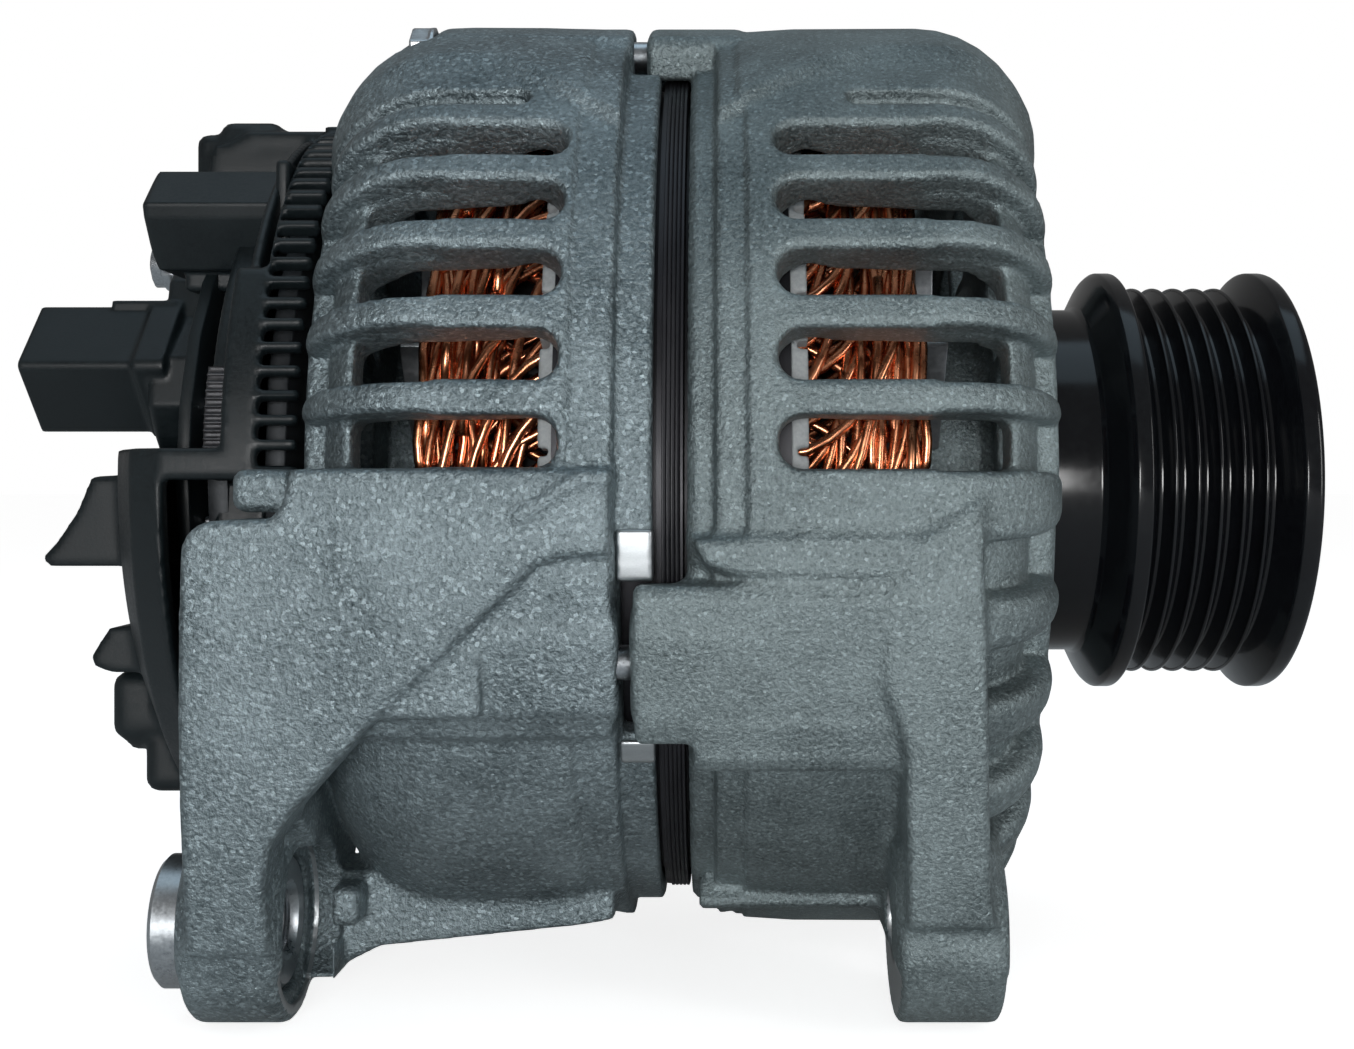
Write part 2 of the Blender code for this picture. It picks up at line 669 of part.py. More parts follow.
def coil_parts():
    bobbin = [
        (-84.6, 26.4),
        (-84.6, 42.0),
        (-86.2, 42.0),
        (-86.2, 27.8),
        (-111.0, 27.8),
        (-111.0, 42.0),
        (-112.8, 42.0),
        (-112.8, 26.4),
    ]
    finish("coil_bobbin", turned(bobbin, 20), "bobbin_plastic")
    finish("field_coil", tube(-110.7, -86.5, 28.1, 41.4), "copper_wire")


def slip_rings():
    hub = tube(-178.6, -153.4, TAIL_RADIUS + GAP, 6.2, segments=24)
    finish("slip_ring_hub", hub, "black_plastic")
    for name, middle in (("slip_ring_inner", BRUSH_STATIONS[0]), ("slip_ring_outer", BRUSH_STATIONS[1])):
        finish(name, tube(middle - 4.0, middle + 4.0, 6.5, RING_RADIUS), "copper_wire")


def sink_plate(ends, outer, holes):
    """A heat sink or connection plate: a ring open at the top for the brush holder."""
    made = tube(*ends, SINK_INNER, outer, segments=24)
    span = (ends[0] - 1.0, ends[1] + 1.0)
    cut(made, block(span, (-9.0, 9.0), (0.0, 70.0)))
    for angle in POST_ANGLES:
        place = at(0.0, POST_CIRCLE, angle)
        cut(made, rod(*span, POST_RADIUS + 0.6, place.y, place.z, 12))
    for angle, circle, radius in holes:
        place = at(0.0, circle, angle)
        cut(made, rod(*span, radius, place.y, place.z, 12))
    return made


def rectifier():
    """Two heat sinks, six diodes and the plate that joins their leads."""
    negative_angles = (-72.0, -10.0, 205.0)
    positive_angles = (-98.0, 18.0, 165.0)
    circle, body, lead = 37.0, 6.0, 0.9
    stud_clearance = [(STUD_ANGLE, STUD_CIRCLE, 8.0)]
    holes = [(angle, circle, body + 0.4) for angle in negative_angles]
    plate = sink_plate(NEGATIVE_SINK, SINK_OUTER, holes + stud_clearance)
    finish("negative_heat_sink", plate, "machined_aluminium")
    holes = [(angle, circle, body + 0.4) for angle in positive_angles]
    holes += [(angle, circle, lead + 1.6) for angle in negative_angles]
    holes.append((STUD_ANGLE, STUD_CIRCLE, STUD_RADIUS + 0.4))
    finish("positive_heat_sink", sink_plate(POSITIVE_SINK, POSITIVE_OUTER, holes), "machined_aluminium")
    finish("connection_plate", sink_plate(CONNECTION, PLATE_OUTER, stud_clearance), "black_plastic")
    lead_end = CONNECTION[1] + GAP
    number = 0
    for ends, angles in ((NEGATIVE_SINK, negative_angles), (POSITIVE_SINK, positive_angles)):
        for angle in angles:
            number += 1
            place = at(0.0, circle, angle)
            made = rod(ends[0] - 1.2, ends[1] + 1.0, body, place.y, place.z, 16)
            join(made, rod(lead_end, ends[0], lead, place.y, place.z, 8))
            finish(f"diode_{number}", made, "bearing_steel")
    place = at(0.0, STUD_CIRCLE, STUD_ANGLE)
    head = (POSITIVE_SINK[1] + GAP, POSITIVE_SINK[1] + 4.0)
    made = rod(STUD_BACK, head[0] + 1.0, STUD_RADIUS, place.y, place.z, 16)
    join(made, rod(*head, 7.0, place.y, place.z, 6))
    finish("b_plus_stud", made, "zinc_steel")
    nut = (STUD_BACK + 2.0, STUD_BACK + 8.0)
    made = rod(*nut, 7.4, place.y, place.z, 6)
    cut(made, rod(nut[0] - 1.0, nut[1] + 1.5, STUD_RADIUS + 0.4, place.y, place.z))
    finish("b_plus_nut", made, "zinc_steel")


def rear_cover():
    """The plastic shell over the rectifier, open at the upper front where the regulator stands."""
    front = REAR_HUB_BACK - GAP
    inner = COVER_RADIUS - COVER_WALL
    profile = [
        (COVER_BACK, 0.0),
        (COVER_BACK, COVER_RADIUS - 9.0),
        (COVER_BACK + 2.6, COVER_RADIUS - 2.6),
        (COVER_BACK + 9.0, COVER_RADIUS),
        (front, COVER_RADIUS),
        (front, inner),
        (COVER_BACK + 10.0, inner),
        (COVER_BACK + COVER_WALL, inner - 7.5),
        (COVER_BACK + COVER_WALL, 0.0),
    ]
    made = turned(profile, 40)
    cut(made, block((-190.0, -150.0), (-70.0, 10.0), (-1.0, 70.0)))
    cut(made, block((-170.5, -150.0), (-75.0, -46.0), (-75.0, 0.0)))
    cut(made, rod(-171.5, -150.0, LUG_RADIUS + 1.5, LUG_Y, LUG_Z, 24))
    for angle in POST_ANGLES:
        place = at(0.0, POST_CIRCLE, angle)
        cut(made, rod(-190.0, -180.0, 2.8, place.y, place.z, 12))
    place = at(0.0, STUD_CIRCLE, STUD_ANGLE)
    cut(made, rod(-190.0, -180.0, 6.0, place.y, place.z, 16))
    for number in range(5):
        z = -12.0 - 7.0 * number
        cut(made, block((-190.0, -180.0), (2.0, 30.0), (z - 1.5, z + 1.5)))
    inside = COVER_BACK + 1.0
    for tip, top in (((-196.0, -12.5), (-186.0, 0.0)), ((-191.5, -28.5), (-186.0, -20.0))):
        section = (tip, top, (inside, tip[1]), (inside, top[1]))
        join(made, hull([(x, y, z) for y in (-44.0, -12.0) for x, z in section]))
    finish("rear_cover", made, "black_plastic")
    for number, angle in enumerate(POST_ANGLES, 1):
        place = at(0.0, POST_CIRCLE, angle)
        made = rod(COVER_BACK - 1.0, -174.0, 2.2, place.y, place.z, 12)
        join(made, rod(COVER_BACK - 4.0, COVER_BACK - GAP, 5.0, place.y, place.z, 6))
        finish(f"cover_screw_{number}", made, "zinc_steel")


def rolled_bar(x0, x1, side):
    """A square bar along X on the plug socket's axis, standing on one corner."""
    reach = side / 2 * 2**0.5
    return hull([at(x, reach, 90.0 * k, SOCKET_Y, SOCKET_Z) for x in (x0, x1) for k in range(4)])


def regulator():
    """The voltage regulator with the square plug socket on its back."""
    back, front = SOCKET[1], -179.2
    made = block((back, front), (-24.5, 9.0), (1.0, 36.5))
    join(made, rolled_bar(SOCKET[0], front - 2.0, SOCKET_SIDE))
    cut(made, rolled_bar(SOCKET[0] - 1.0, back - 1.5, SOCKET_SIDE - 2 * SOCKET_WALL))
    pin_z = (SOCKET_Z - 1.2, SOCKET_Z + 1.2)
    for pin_y in (SOCKET_Y - 2.0, SOCKET_Y + 2.0):
        join(made, block((back - 6.0, back - 0.5), (pin_y - 0.5, pin_y + 0.5), pin_z))
    for y, z in REGULATOR_SCREWS:
        cut(made, rod(back - 2.0, front + 1.2, 2.0, y, z, 12))
    finish("regulator", made, "black_plastic")
    for number, (y, z) in enumerate(REGULATOR_SCREWS, 1):
        made = rod(back - 0.5, front - GAP, 1.6, y, z, 12)
        join(made, rod(back - 2.4, back - GAP, 3.4, y, z, 16))
        finish(f"regulator_screw_{number}", made, "zinc_steel")


def brush_gear():
    """The brush holder over the slip rings, with two brushes that slide down as they wear."""
    holder = block((-178.4, -159.6), (-6.8, 6.8), (11.5, 36.5))
    for middle in BRUSH_STATIONS:
        half_x, half_y = BRUSH_X / 2 + GAP, BRUSH_Y / 2 + GAP
        cut(holder, block((middle - half_x, middle + half_x), (-half_y, half_y), (10.0, SPRING_TOP + GAP)))
    finish("brush_holder", holder, "black_plastic")
    for name, middle in zip(("brush_positive", "brush_negative"), BRUSH_STATIONS):
        low = RING_RADIUS + GAP
        half_x, half_y = BRUSH_X / 2, BRUSH_Y / 2
        made = block((middle - half_x, middle + half_x), (-half_y, half_y), (low, BRUSH_TOP))
        finish(name, made, "graphite", (middle, 0.0, (low + BRUSH_TOP) / 2))
    for name, middle in zip(("brush_spring_positive", "brush_spring_negative"), BRUSH_STATIONS):
        made = coil_spring(middle, BRUSH_TOP + GAP, SPRING_TOP)
        finish(name, made, "zinc_steel", (middle, 0.0, SPRING_TOP))


def coil_spring(middle, low, high):
    """A small compression spring standing along Z, as one swept wire with flat ends."""
    turns, per_turn, wire, radius = 4, 10, 0.35, 1.5
    bm = bmesh.new()
    count = turns * per_turn
    rings = []
    for k in range(count + 1):
        angle = 2 * pi * k / per_turn
        centre = Vector((middle + radius * cos(angle), radius * sin(angle), 0.0))
        centre.z = low + wire + (high - low - 2 * wire) * k / count
        outward = Vector((cos(angle), sin(angle), 0.0))
        sides = ((outward, 1), (Vector((0, 0, 1)), 1), (outward, -1), (Vector((0, 0, 1)), -1))
        rings.append([bm.verts.new(centre + way * wire * sign) for way, sign in sides])
    for ring, follower in zip(rings, rings[1:]):
        for k in range(4):
            nxt = (k + 1) % 4
            bm.faces.new((ring[k], ring[nxt], follower[nxt], follower[k]))
    bm.faces.new(rings[0])
    bm.faces.new(rings[-1][::-1])
    return shape(bm)


def terminal_block():
    """The small upper connector near the rim, its socket open to the back."""
    made = block((-181.0, -158.0), (-39.2, -28.8), (38.0, 48.5))
    cut(made, block((-182.0, -171.0), (-37.7, -30.3), (39.5, 47.0)))
    join(made, block((-176.0, -170.0), (-34.5, -33.5), (42.2, 44.2)))
    finish("terminal_block", made, "black_plastic")


def mounting_bush():
    made = tube(*BUSH, BUSH_BORE, BUSH_RADIUS, LUG_Y, LUG_Z)
    finish("mounting_bush", made, "zinc_steel", (sum(BUSH) / 2, LUG_Y, LUG_Z))


def main():
    for found in list(bpy.data.objects):
        bpy.data.objects.remove(found)
    drive_end_bracket()
    slip_ring_end_bracket()
    stator_core()
    stator_winding()
    claw_pole("front_claw_pole", FRONT_POLE, -1, 0.0, -29.2)
    claw_pole("rear_claw_pole", REAR_POLE, 1, 30.0, 0.0)
    fan("front_fan", -71.7, 1)
    fan("rear_fan", -125.8, -1)
    coil_parts()
    rotor_shaft()
    finish("bearing_spacer", tube(-69.9, -60.8, BORE, 12.0), "bearing_steel")
    bearing("front_bearing", (FRONT_HUB_BACK, -46.5), BORE, 12.2, 18.6, 23.5, 2.9, 8)
    bearing("rear_bearing", (-151.0, -140.0), REAR_SHAFT_RADIUS + GAP, 10.2, 14.8, 17.5, 2.1, 8)
    finish("rear_bearing_cup", tube(-151.2, -139.8, 17.8, 19.2), "bobbin_plastic")
    retainer_plate()
    pulley()
    pulley_nut()
    for number, angle in enumerate(BOLT_ANGLES, 1):
        through_bolt(number, angle)
    slip_rings()
    rectifier()
    rear_cover()
    regulator()
    brush_gear()
    terminal_block()
    mounting_bush()


main()
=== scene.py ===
"""The look of the car alternator: its cast, moulded, turned and wound pieces, built round the CAD frame.

Shapes are worked out in millimetres and scaled to metres as they become objects. Castings and
mouldings are signed-distance fields on a grid, so that joins get fillets and edges get the soft
radius of a casting. An angle counts from -Y, turning up towards +Z, round the shaft.
"""

from math import atan2, cos, degrees, pi, radians, sin

import bpy
import numpy as np
from mathutils import Euler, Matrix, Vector


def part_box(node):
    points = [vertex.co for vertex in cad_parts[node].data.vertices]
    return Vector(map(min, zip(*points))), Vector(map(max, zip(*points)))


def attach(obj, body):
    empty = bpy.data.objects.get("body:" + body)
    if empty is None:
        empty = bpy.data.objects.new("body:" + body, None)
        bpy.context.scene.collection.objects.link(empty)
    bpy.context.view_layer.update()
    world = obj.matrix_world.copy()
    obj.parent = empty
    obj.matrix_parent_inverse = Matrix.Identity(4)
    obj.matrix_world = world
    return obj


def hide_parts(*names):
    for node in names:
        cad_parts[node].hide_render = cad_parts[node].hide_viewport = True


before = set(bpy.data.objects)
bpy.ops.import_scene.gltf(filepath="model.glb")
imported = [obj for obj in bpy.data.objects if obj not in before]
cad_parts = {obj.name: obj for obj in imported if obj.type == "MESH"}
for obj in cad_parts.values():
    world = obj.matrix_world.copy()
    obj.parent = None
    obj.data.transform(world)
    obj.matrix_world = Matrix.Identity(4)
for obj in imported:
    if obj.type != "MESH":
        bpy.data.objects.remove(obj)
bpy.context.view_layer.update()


# ---------------------------------------------------------------- sizes taken from the frame


def span(node):
    """A node's lowest and highest corners, in millimetres."""
    low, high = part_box(node)
    return low * 1000, high * 1000


def middle(node):
    low, high = span(node)
    return (low + high) / 2


FRONT_HIGH = span("drive_end_bracket")[1]
REAR_LOW = span("slip_ring_end_bracket")[0]
CORE_LOW, CORE_HIGH = span("stator_core")
WINDING_LOW, WINDING_HIGH = span("stator_winding")
PULLEY_LOW, PULLEY_HIGH = span("pulley")
COVER_LOW, COVER_HIGH = span("rear_cover")
REGULATOR_LOW, REGULATOR_HIGH = span("regulator")
BLOCK_LOW, BLOCK_HIGH = span("terminal_block")
BUSH_LOW, BUSH_HIGH = span("mounting_bush")
BUSH = middle("mounting_bush")

FRONT_FACE = FRONT_HIGH.x - 0.6
REAR_FACE = span("rear_bearing_cup")[0].x + 0.7
BAND_RADIUS = CORE_HIGH.z
BARREL = BAND_RADIUS + 5.7
SEAT = BAND_RADIUS - 2.3
BAND = (-100.5, -96.8)
BOLTS = [middle(f"through_bolt_{k}") for k in range(1, 5)]
BOLT_ANGLES = [degrees(atan2(place.z, -place.y)) for place in BOLTS]
LUG_RADIUS = 14.4
COVER_POSTS = (-57.0, 140.0, 232.0)

SLOT_PITCH, SLOT_WIDTH, FIRST_SLOT, SLOTS = 9.3, 5.4, 1.2, 5
STATOR_SLOTS, WIRE_RADIUS = 54, 0.78
GROOVES, GROOVE_PITCH, FIRST_GROOVE = 6, 3.56, -2.6
WINDOW_OUTER, WINDOW_INNER = 50.0, 36.0


# ---------------------------------------------------------------- distance fields


class Field:
    """A block of space sampled on a grid, in which a solid is built as a signed distance."""

    def __init__(self, low, high, step):
        self.low, self.step = np.array(low, np.float32), step
        counts = np.ceil((np.array(high) - np.array(low)) / step).astype(int) + 1
        axes = [(low[k] + step * np.arange(counts[k])).astype(np.float32) for k in range(3)]
        self.x = axes[0][:, None, None]
        self.y = axes[1][None, :, None]
        self.z = axes[2][None, None, :]
        self.radius = np.hypot(self.y, self.z)
        self.angle = np.degrees(np.arctan2(self.z, -self.y)) + 0 * self.y

    def turned(self, outline):
        """The solid that a closed outline of (x, radius) sweeps round the shaft."""
        fine = 0.2
        radii = np.arange(0.0, float(self.radius.max()) + 1.0, fine, dtype=np.float32)
        table = outline_distance(self.x[:, :, 0], radii[None, :], outline)
        place = self.radius[0] / fine
        index = np.minimum(place.astype(int), len(radii) - 2)
        share = (place - index).astype(np.float32)
        return table[:, index] * (1 - share) + table[:, index + 1] * share

    def along(self, centre_y, centre_z, radius, x0, x1, soft=0.6):
        """A cylinder along X."""
        across = np.hypot(self.y - centre_y, self.z - centre_z) - radius
        return meet(across, abs(self.x - (x0 + x1) / 2) - abs(x1 - x0) / 2, soft)

    def box(self, low, high, soft=0.6):
        flat = [
            abs(axis - (a + b) / 2) - abs(b - a) / 2
            for axis, a, b in zip((self.x, self.y, self.z), low, high)
        ]
        return meet(meet(flat[0], flat[1], soft), flat[2], soft)

    def plate(self, outline, outer_y, depth, bow=0.0, soft=1.2):
        """A plate with an outline in X and Z, its outer face bowing inwards as it goes down."""
        flat = outline_distance(self.x[:, :, 0], self.z[0], outline)[:, None, :]
        across = abs(self.y - (outer_y + depth / 2 + bow * self.z**2)) - depth / 2
        return meet(flat, across, soft)

    def bar(self, outline, x0, x1, soft=0.8):
        """A bar along X with an outline in Y and Z."""
        flat = outline_distance(self.y[0], self.z[0], outline)[None]
        return meet(flat, abs(self.x - (x0 + x1) / 2) - abs(x1 - x0) / 2, soft)

    def around(self, angle):
        """Millimetres along the circumference from this angle."""
        turn = (self.angle - angle + 180.0) % 360.0 - 180.0
        return turn * self.radius * (pi / 180)


def outline_distance(px, py, corners):
    """Signed distance in a plane to a closed outline, below zero inside it."""
    nearest = np.full(np.broadcast(px, py).shape, 1e9, np.float32)
    sign = np.ones_like(nearest)
    for (ax, ay), (bx, by) in zip(corners, corners[1:] + corners[:1]):
        ex, ey = bx - ax, by - ay
        wx, wy = px - ax, py - ay
        share = np.clip((wx * ex + wy * ey) / (ex * ex + ey * ey), 0, 1)
        nearest = np.minimum(nearest, (wx - ex * share) ** 2 + (wy - ey * share) ** 2)
        over, under, left = wy >= 0, py < by, ex * wy > ey * wx
        sign = np.where((over & under & left) | (~over & ~under & ~left), -sign, sign)
    return sign * np.sqrt(nearest)


def meet(a, b, soft):
    """What is inside both, with the corner between them rounded to this radius."""
    p, q = a + soft, b + soft
    outside = np.sqrt(np.maximum(p, 0) ** 2 + np.maximum(q, 0) ** 2)
    return outside + np.minimum(np.maximum(p, q), 0) - soft


def join(a, b, fillet=1.2):
    """Both together, with a fillet where they meet."""
    blend = np.maximum(fillet - abs(a - b), 0) / fillet
    return np.minimum(a, b) - blend * blend * fillet / 4


def cut(a, b, edge=0.8):
    """The first without the second, with a rounded edge."""
    return -join(-a, b, edge)


def surface(field, solid):
    """Points and quads of the solid's surface, by surface nets."""
    inside = solid < 0
    shape = np.array(solid.shape) - 1
    nx, ny, nz = shape
    total = np.zeros(shape, np.int8)
    corners = [(i, j, k) for i in (0, 1) for j in (0, 1) for k in (0, 1)]
    for i, j, k in corners:
        total += inside[i : i + nx, j : j + ny, k : k + nz]
    cells = np.argwhere((total > 0) & (total < 8))
    index = np.full(shape, -1, np.int64)
    index[tuple(cells.T)] = np.arange(len(cells))
    position = np.zeros((len(cells), 3), np.float32)
    hits = np.zeros(len(cells), np.float32)
    for a in corners:
        for axis in range(3):
            if a[axis]:
                continue
            b = list(a)
            b[axis] = 1
            fa = solid[tuple((cells + a).T)]
            fb = solid[tuple((cells + b).T)]
            crossing = (fa < 0) != (fb < 0)
            share = np.where(crossing, fa / np.where(crossing, fa - fb, 1), 0)
            point = np.tile(np.array(a, np.float32), (len(cells), 1))
            point[:, axis] = share
            position += point * crossing[:, None]
            hits += crossing
    points = (cells + position / hits[:, None]) * field.step + field.low
    quads = []
    for axis in range(3):
        u, v = (axis + 1) % 3, (axis + 2) % 3
        along = np.moveaxis(inside, axis, 0)
        edges = np.argwhere(np.moveaxis(along[1:] != along[:-1], 0, axis))
        edges = edges[
            (edges[:, u] > 0) & (edges[:, v] > 0) & (edges[:, u] < shape[u]) & (edges[:, v] < shape[v])
        ]
        ring = []
        for du, dv in ((0, 0), (1, 0), (1, 1), (0, 1)):
            cell = edges.copy()
            cell[:, u] -= du
            cell[:, v] -= dv
            ring.append(index[tuple(cell.T)])
        ring = np.stack(ring, 1)
        facing = inside[tuple(edges.T)]
        quads.append(np.where(facing[:, None], ring, ring[:, ::-1]))
    return points, np.concatenate(quads)


# ---------------------------------------------------------------- objects


def new_object(name, points, faces, smooth=True):
    """An object from points in millimetres and equal-sided faces."""
    mesh = bpy.data.meshes.new(name)
    points, faces = np.asarray(points, np.float32), np.asarray(faces, np.int32)
    mesh.vertices.add(len(points))
    mesh.vertices.foreach_set("co", (points * 0.001).ravel())
    sides = faces.shape[1]
    mesh.loops.add(faces.size)
    mesh.loops.foreach_set("vertex_index", faces.ravel())
    mesh.polygons.add(len(faces))
    mesh.polygons.foreach_set("loop_start", np.arange(len(faces), dtype=np.int32) * sides)
    mesh.update(calc_edges=True)
    mesh.validate()
    if smooth:
        mesh.shade_smooth()
    made = bpy.data.objects.new(name, mesh)
    bpy.context.scene.collection.objects.link(made)
    return made


def place(made, material, body, slot, *nodes):
    """Gives the piece its material and its body, and hides the CAD nodes that it stands for."""
    made.data.materials.clear()
    made.data.materials.append(material)
    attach(made, body)
    if nodes:
        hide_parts(*nodes)
    return made


def cast(name, field, solid):
    return new_object(name, *surface(field, solid))


def at(x, radius, angle, y=0.0, z=0.0):
    turn = radians(angle)
    return Vector((x, y - radius * cos(turn), z + radius * sin(turn)))


def lathe(name, profile, segments=128, y=0.0, z=0.0, sharp=32):
    """A closed turned piece from a profile of (x, radius) that runs all the way round its section."""
    count = len(profile)
    points = [at(x, r, 360.0 * s / segments, y, z) for s in range(segments) for x, r in profile]
    faces = []
    for s in range(segments):
        t = (s + 1) % segments
        for k in range(count):
            m = (k + 1) % count
            faces.append((s * count + k, s * count + m, t * count + m, t * count + k))
    made = new_object(name, points, faces)
    outward(made)
    made.data.set_sharp_from_angle(angle=radians(sharp))
    return made


def outward(made):
    """Turns the faces outwards by the sign of the enclosed volume."""
    mesh = made.data
    mesh.calc_loop_triangles()
    co = np.array([v.co for v in mesh.vertices])
    tri = np.array([t.vertices for t in mesh.loop_triangles])
    a, b, c = co[tri[:, 0]], co[tri[:, 1]], co[tri[:, 2]]
    if np.einsum("ij,ij->i", a, np.cross(b, c)).sum() < 0:
        mesh.flip_normals()


def softened(profile, radius=0.4, steps=3):
    """A closed profile with each corner rounded, as far as its edges allow."""
    result = []
    count = len(profile)
    for k in range(count):
        here = np.array(profile[k], float)
        before, after = np.array(profile[k - 1], float), np.array(profile[(k + 1) % count], float)
        back, ahead = before - here, after - here
        reach = min(radius, np.linalg.norm(back) * 0.45, np.linalg.norm(ahead) * 0.45)
        start = here + back / np.linalg.norm(back) * reach
        end = here + ahead / np.linalg.norm(ahead) * reach
        for step in range(steps + 1):
            s = step / steps
            bend = start * (1 - s) ** 2 + here * 2 * s * (1 - s) + end * s * s
            result.append((float(bend[0]), float(bend[1])))
    return result


def tubes(name, paths, radius, sides=6):
    """Round wires along paths of points, all in one object."""
    points, faces = [], []
    for path in paths:
        path = np.array(path, float)
        ahead = np.gradient(path, axis=0)
        ahead /= np.linalg.norm(ahead, axis=1)[:, None]
        start = len(points)
        helper = np.array((0.31, 0.52, 0.79))
        for centre, way in zip(path, ahead):
            u = np.cross(way, helper)
            u /= np.linalg.norm(u)
            v = np.cross(way, u)
            for side in range(sides):
                turn = 2 * pi * side / sides
                points.append(centre + radius * (u * cos(turn) + v * sin(turn)))
        for k in range(len(path) - 1):
            for side in range(sides):
                nxt = (side + 1) % sides
                a, b = start + k * sides, start + (k + 1) * sides
                faces.append((a + side, b + side, b + nxt, a + nxt))
        for ring, flip in ((start, 1), (start + (len(path) - 1) * sides, -1)):
            for side in range(1, sides - 2, 2):
                corner = (ring, ring + side, ring + side + 1, ring + side + 2)
                faces.append(corner[::flip])
    made = new_object(name, points, faces)
    return made


# ---------------------------------------------------------------- finishes


def finish_of(
    name, dark, light, metallic, rough, grain=0.6, patch=14.0, relief=0.1, flakes=0.0,
    stretch=(1, 1, 1), **shine
):
    """A material whose colour, gloss and relief vary over broad patches and a fine grain.

    The sizes of the patches, the grain and the relief are in millimetres.
    """
    made = bpy.data.materials.new(name)
    made.use_nodes = True
    nodes, links = made.node_tree.nodes, made.node_tree.links
    shader = nodes["Principled BSDF"]
    shader.inputs["Metallic"].default_value = metallic
    for socket, value in shine.items():
        shader.inputs[socket.replace("_", " ")].default_value = value
    place = nodes.new("ShaderNodeTexCoord")
    mapping = nodes.new("ShaderNodeMapping")
    mapping.inputs["Scale"].default_value = stretch
    links.new(place.outputs["Object"], mapping.inputs["Vector"])

    def texture(kind, size, **values):
        node = nodes.new(kind)
        node.inputs["Scale"].default_value = 1000.0 / size
        for socket, value in values.items():
            node.inputs[socket].default_value = value
        links.new(mapping.outputs["Vector"], node.inputs["Vector"])
        return node

    def spread(source, low, high, from_low=0.3, from_high=0.7):
        node = nodes.new("ShaderNodeMapRange")
        for socket, value in zip(
            ("From Min", "From Max", "To Min", "To Max"), (from_low, from_high, low, high)
        ):
            node.inputs[socket].default_value = value
        links.new(source, node.inputs["Value"])
        return node.outputs["Result"]

    def sum_of(a, b):
        node = nodes.new("ShaderNodeMath")
        links.new(a, node.inputs[0])
        links.new(b, node.inputs[1])
        return node.outputs["Value"]

    patches = texture("ShaderNodeTexNoise", patch, Detail=5.0, Roughness=0.6)
    grains = texture("ShaderNodeTexNoise", grain, Detail=3.0, Roughness=0.65)
    shade = sum_of(spread(patches.outputs["Fac"], 0.0, 0.45), spread(grains.outputs["Fac"], 0.0, 0.55))
    if flakes:
        cells = texture("ShaderNodeTexVoronoi", grain * 0.75)
        shade = sum_of(shade, spread(cells.outputs["Color"], 0.0, flakes, 0.72, 0.95))
    tint = nodes.new("ShaderNodeMix")
    tint.data_type = "RGBA"
    tint.inputs["A"].default_value = (*dark, 1.0)
    tint.inputs["B"].default_value = (*light, 1.0)
    links.new(shade, tint.inputs["Factor"])
    links.new(tint.outputs["Result"], shader.inputs["Base Color"])
    gloss = sum_of(
        spread(patches.outputs["Fac"], 0.0, rough * 0.35),
        spread(grains.outputs["Fac"], rough * 0.75, rough * 1.1)
    )
    links.new(gloss, shader.inputs["Roughness"])
    bump = nodes.new("ShaderNodeBump")
    bump.inputs["Strength"].default_value = min(1.0, relief * 4)
    bump.inputs["Distance"].default_value = 0.001 * relief
    links.new(grains.outputs["Fac"], bump.inputs["Height"])
    links.new(bump.outputs["Normal"], shader.inputs["Normal"])
    return made


CAST = finish_of(
    "CastAluminium", (0.055, 0.070, 0.073), (0.27, 0.325, 0.333), 0.8, 0.47, 0.55, 18.0, 0.3, 0.6
)
COARSE_CAST = finish_of(
    "CoarseCastAluminium", (0.045, 0.062, 0.068), (0.29, 0.35, 0.37), 0.8, 0.43, 0.7, 18.0, 0.42, 1.1
)
MACHINED = finish_of(
    "MachinedAluminium", (0.30, 0.32, 0.33), (0.48, 0.50, 0.51), 1.0, 0.34, 0.3, 10.0, 0.03, 0,
    (1, 8, 8)
)
BLACK_COAT = finish_of(
    "BlackCoat", (0.002, 0.002, 0.003), (0.005, 0.006, 0.007), 0.0, 0.14, 1.2, 20.0, 0.008,
    Specular_IOR_Level=0.3
)
PLASTIC = finish_of(
    "BlackPlastic", (0.003, 0.005, 0.006), (0.009, 0.014, 0.016), 0.0, 0.42, 0.5, 12.0, 0.06,
    Specular_IOR_Level=0.32
)
LAMINATED = finish_of(
    "LaminatedSteel", (0.006, 0.006, 0.008), (0.02, 0.02, 0.024), 0.5, 0.4, 0.35, 9.0, 0.03, 0,
    (4, 1, 1)
)
POLE = finish_of("PoleSteel", (0.05, 0.05, 0.055), (0.13, 0.13, 0.135), 0.9, 0.5, 0.8, 14.0, 0.08)
COPPER = finish_of(
    "CopperWire", (0.42, 0.13, 0.055), (0.75, 0.32, 0.17), 1.0, 0.24, 1.5, 8.0, 0.02, Coat_Weight=0.4,
    Coat_Roughness=0.12
)
BRIGHT_STEEL = finish_of("BearingSteel", (0.28, 0.28, 0.29), (0.45, 0.45, 0.45), 1.0, 0.22, 0.5, 12.0, 0.02)
ZINC = finish_of("ZincSteel", (0.30, 0.32, 0.34), (0.55, 0.58, 0.60), 1.0, 0.3, 0.5, 6.0, 0.04)
FAN_STEEL = finish_of("FanSteel", (0.28, 0.30, 0.32), (0.48, 0.50, 0.52), 0.9, 0.38, 0.8, 12.0, 0.04)
BOBBIN = finish_of("BobbinPlastic", (0.18, 0.17, 0.13), (0.27, 0.25, 0.2), 0.0, 0.5, 0.8, 10.0, 0.04)
LINER = finish_of("SlotLiner", (0.20, 0.215, 0.22), (0.34, 0.36, 0.365), 0.0, 0.55, 0.6, 8.0, 0.05)
GRAPHITE = finish_of("Graphite", (0.02, 0.02, 0.021), (0.06, 0.06, 0.062), 0.3, 0.6, 0.3, 6.0, 0.06)
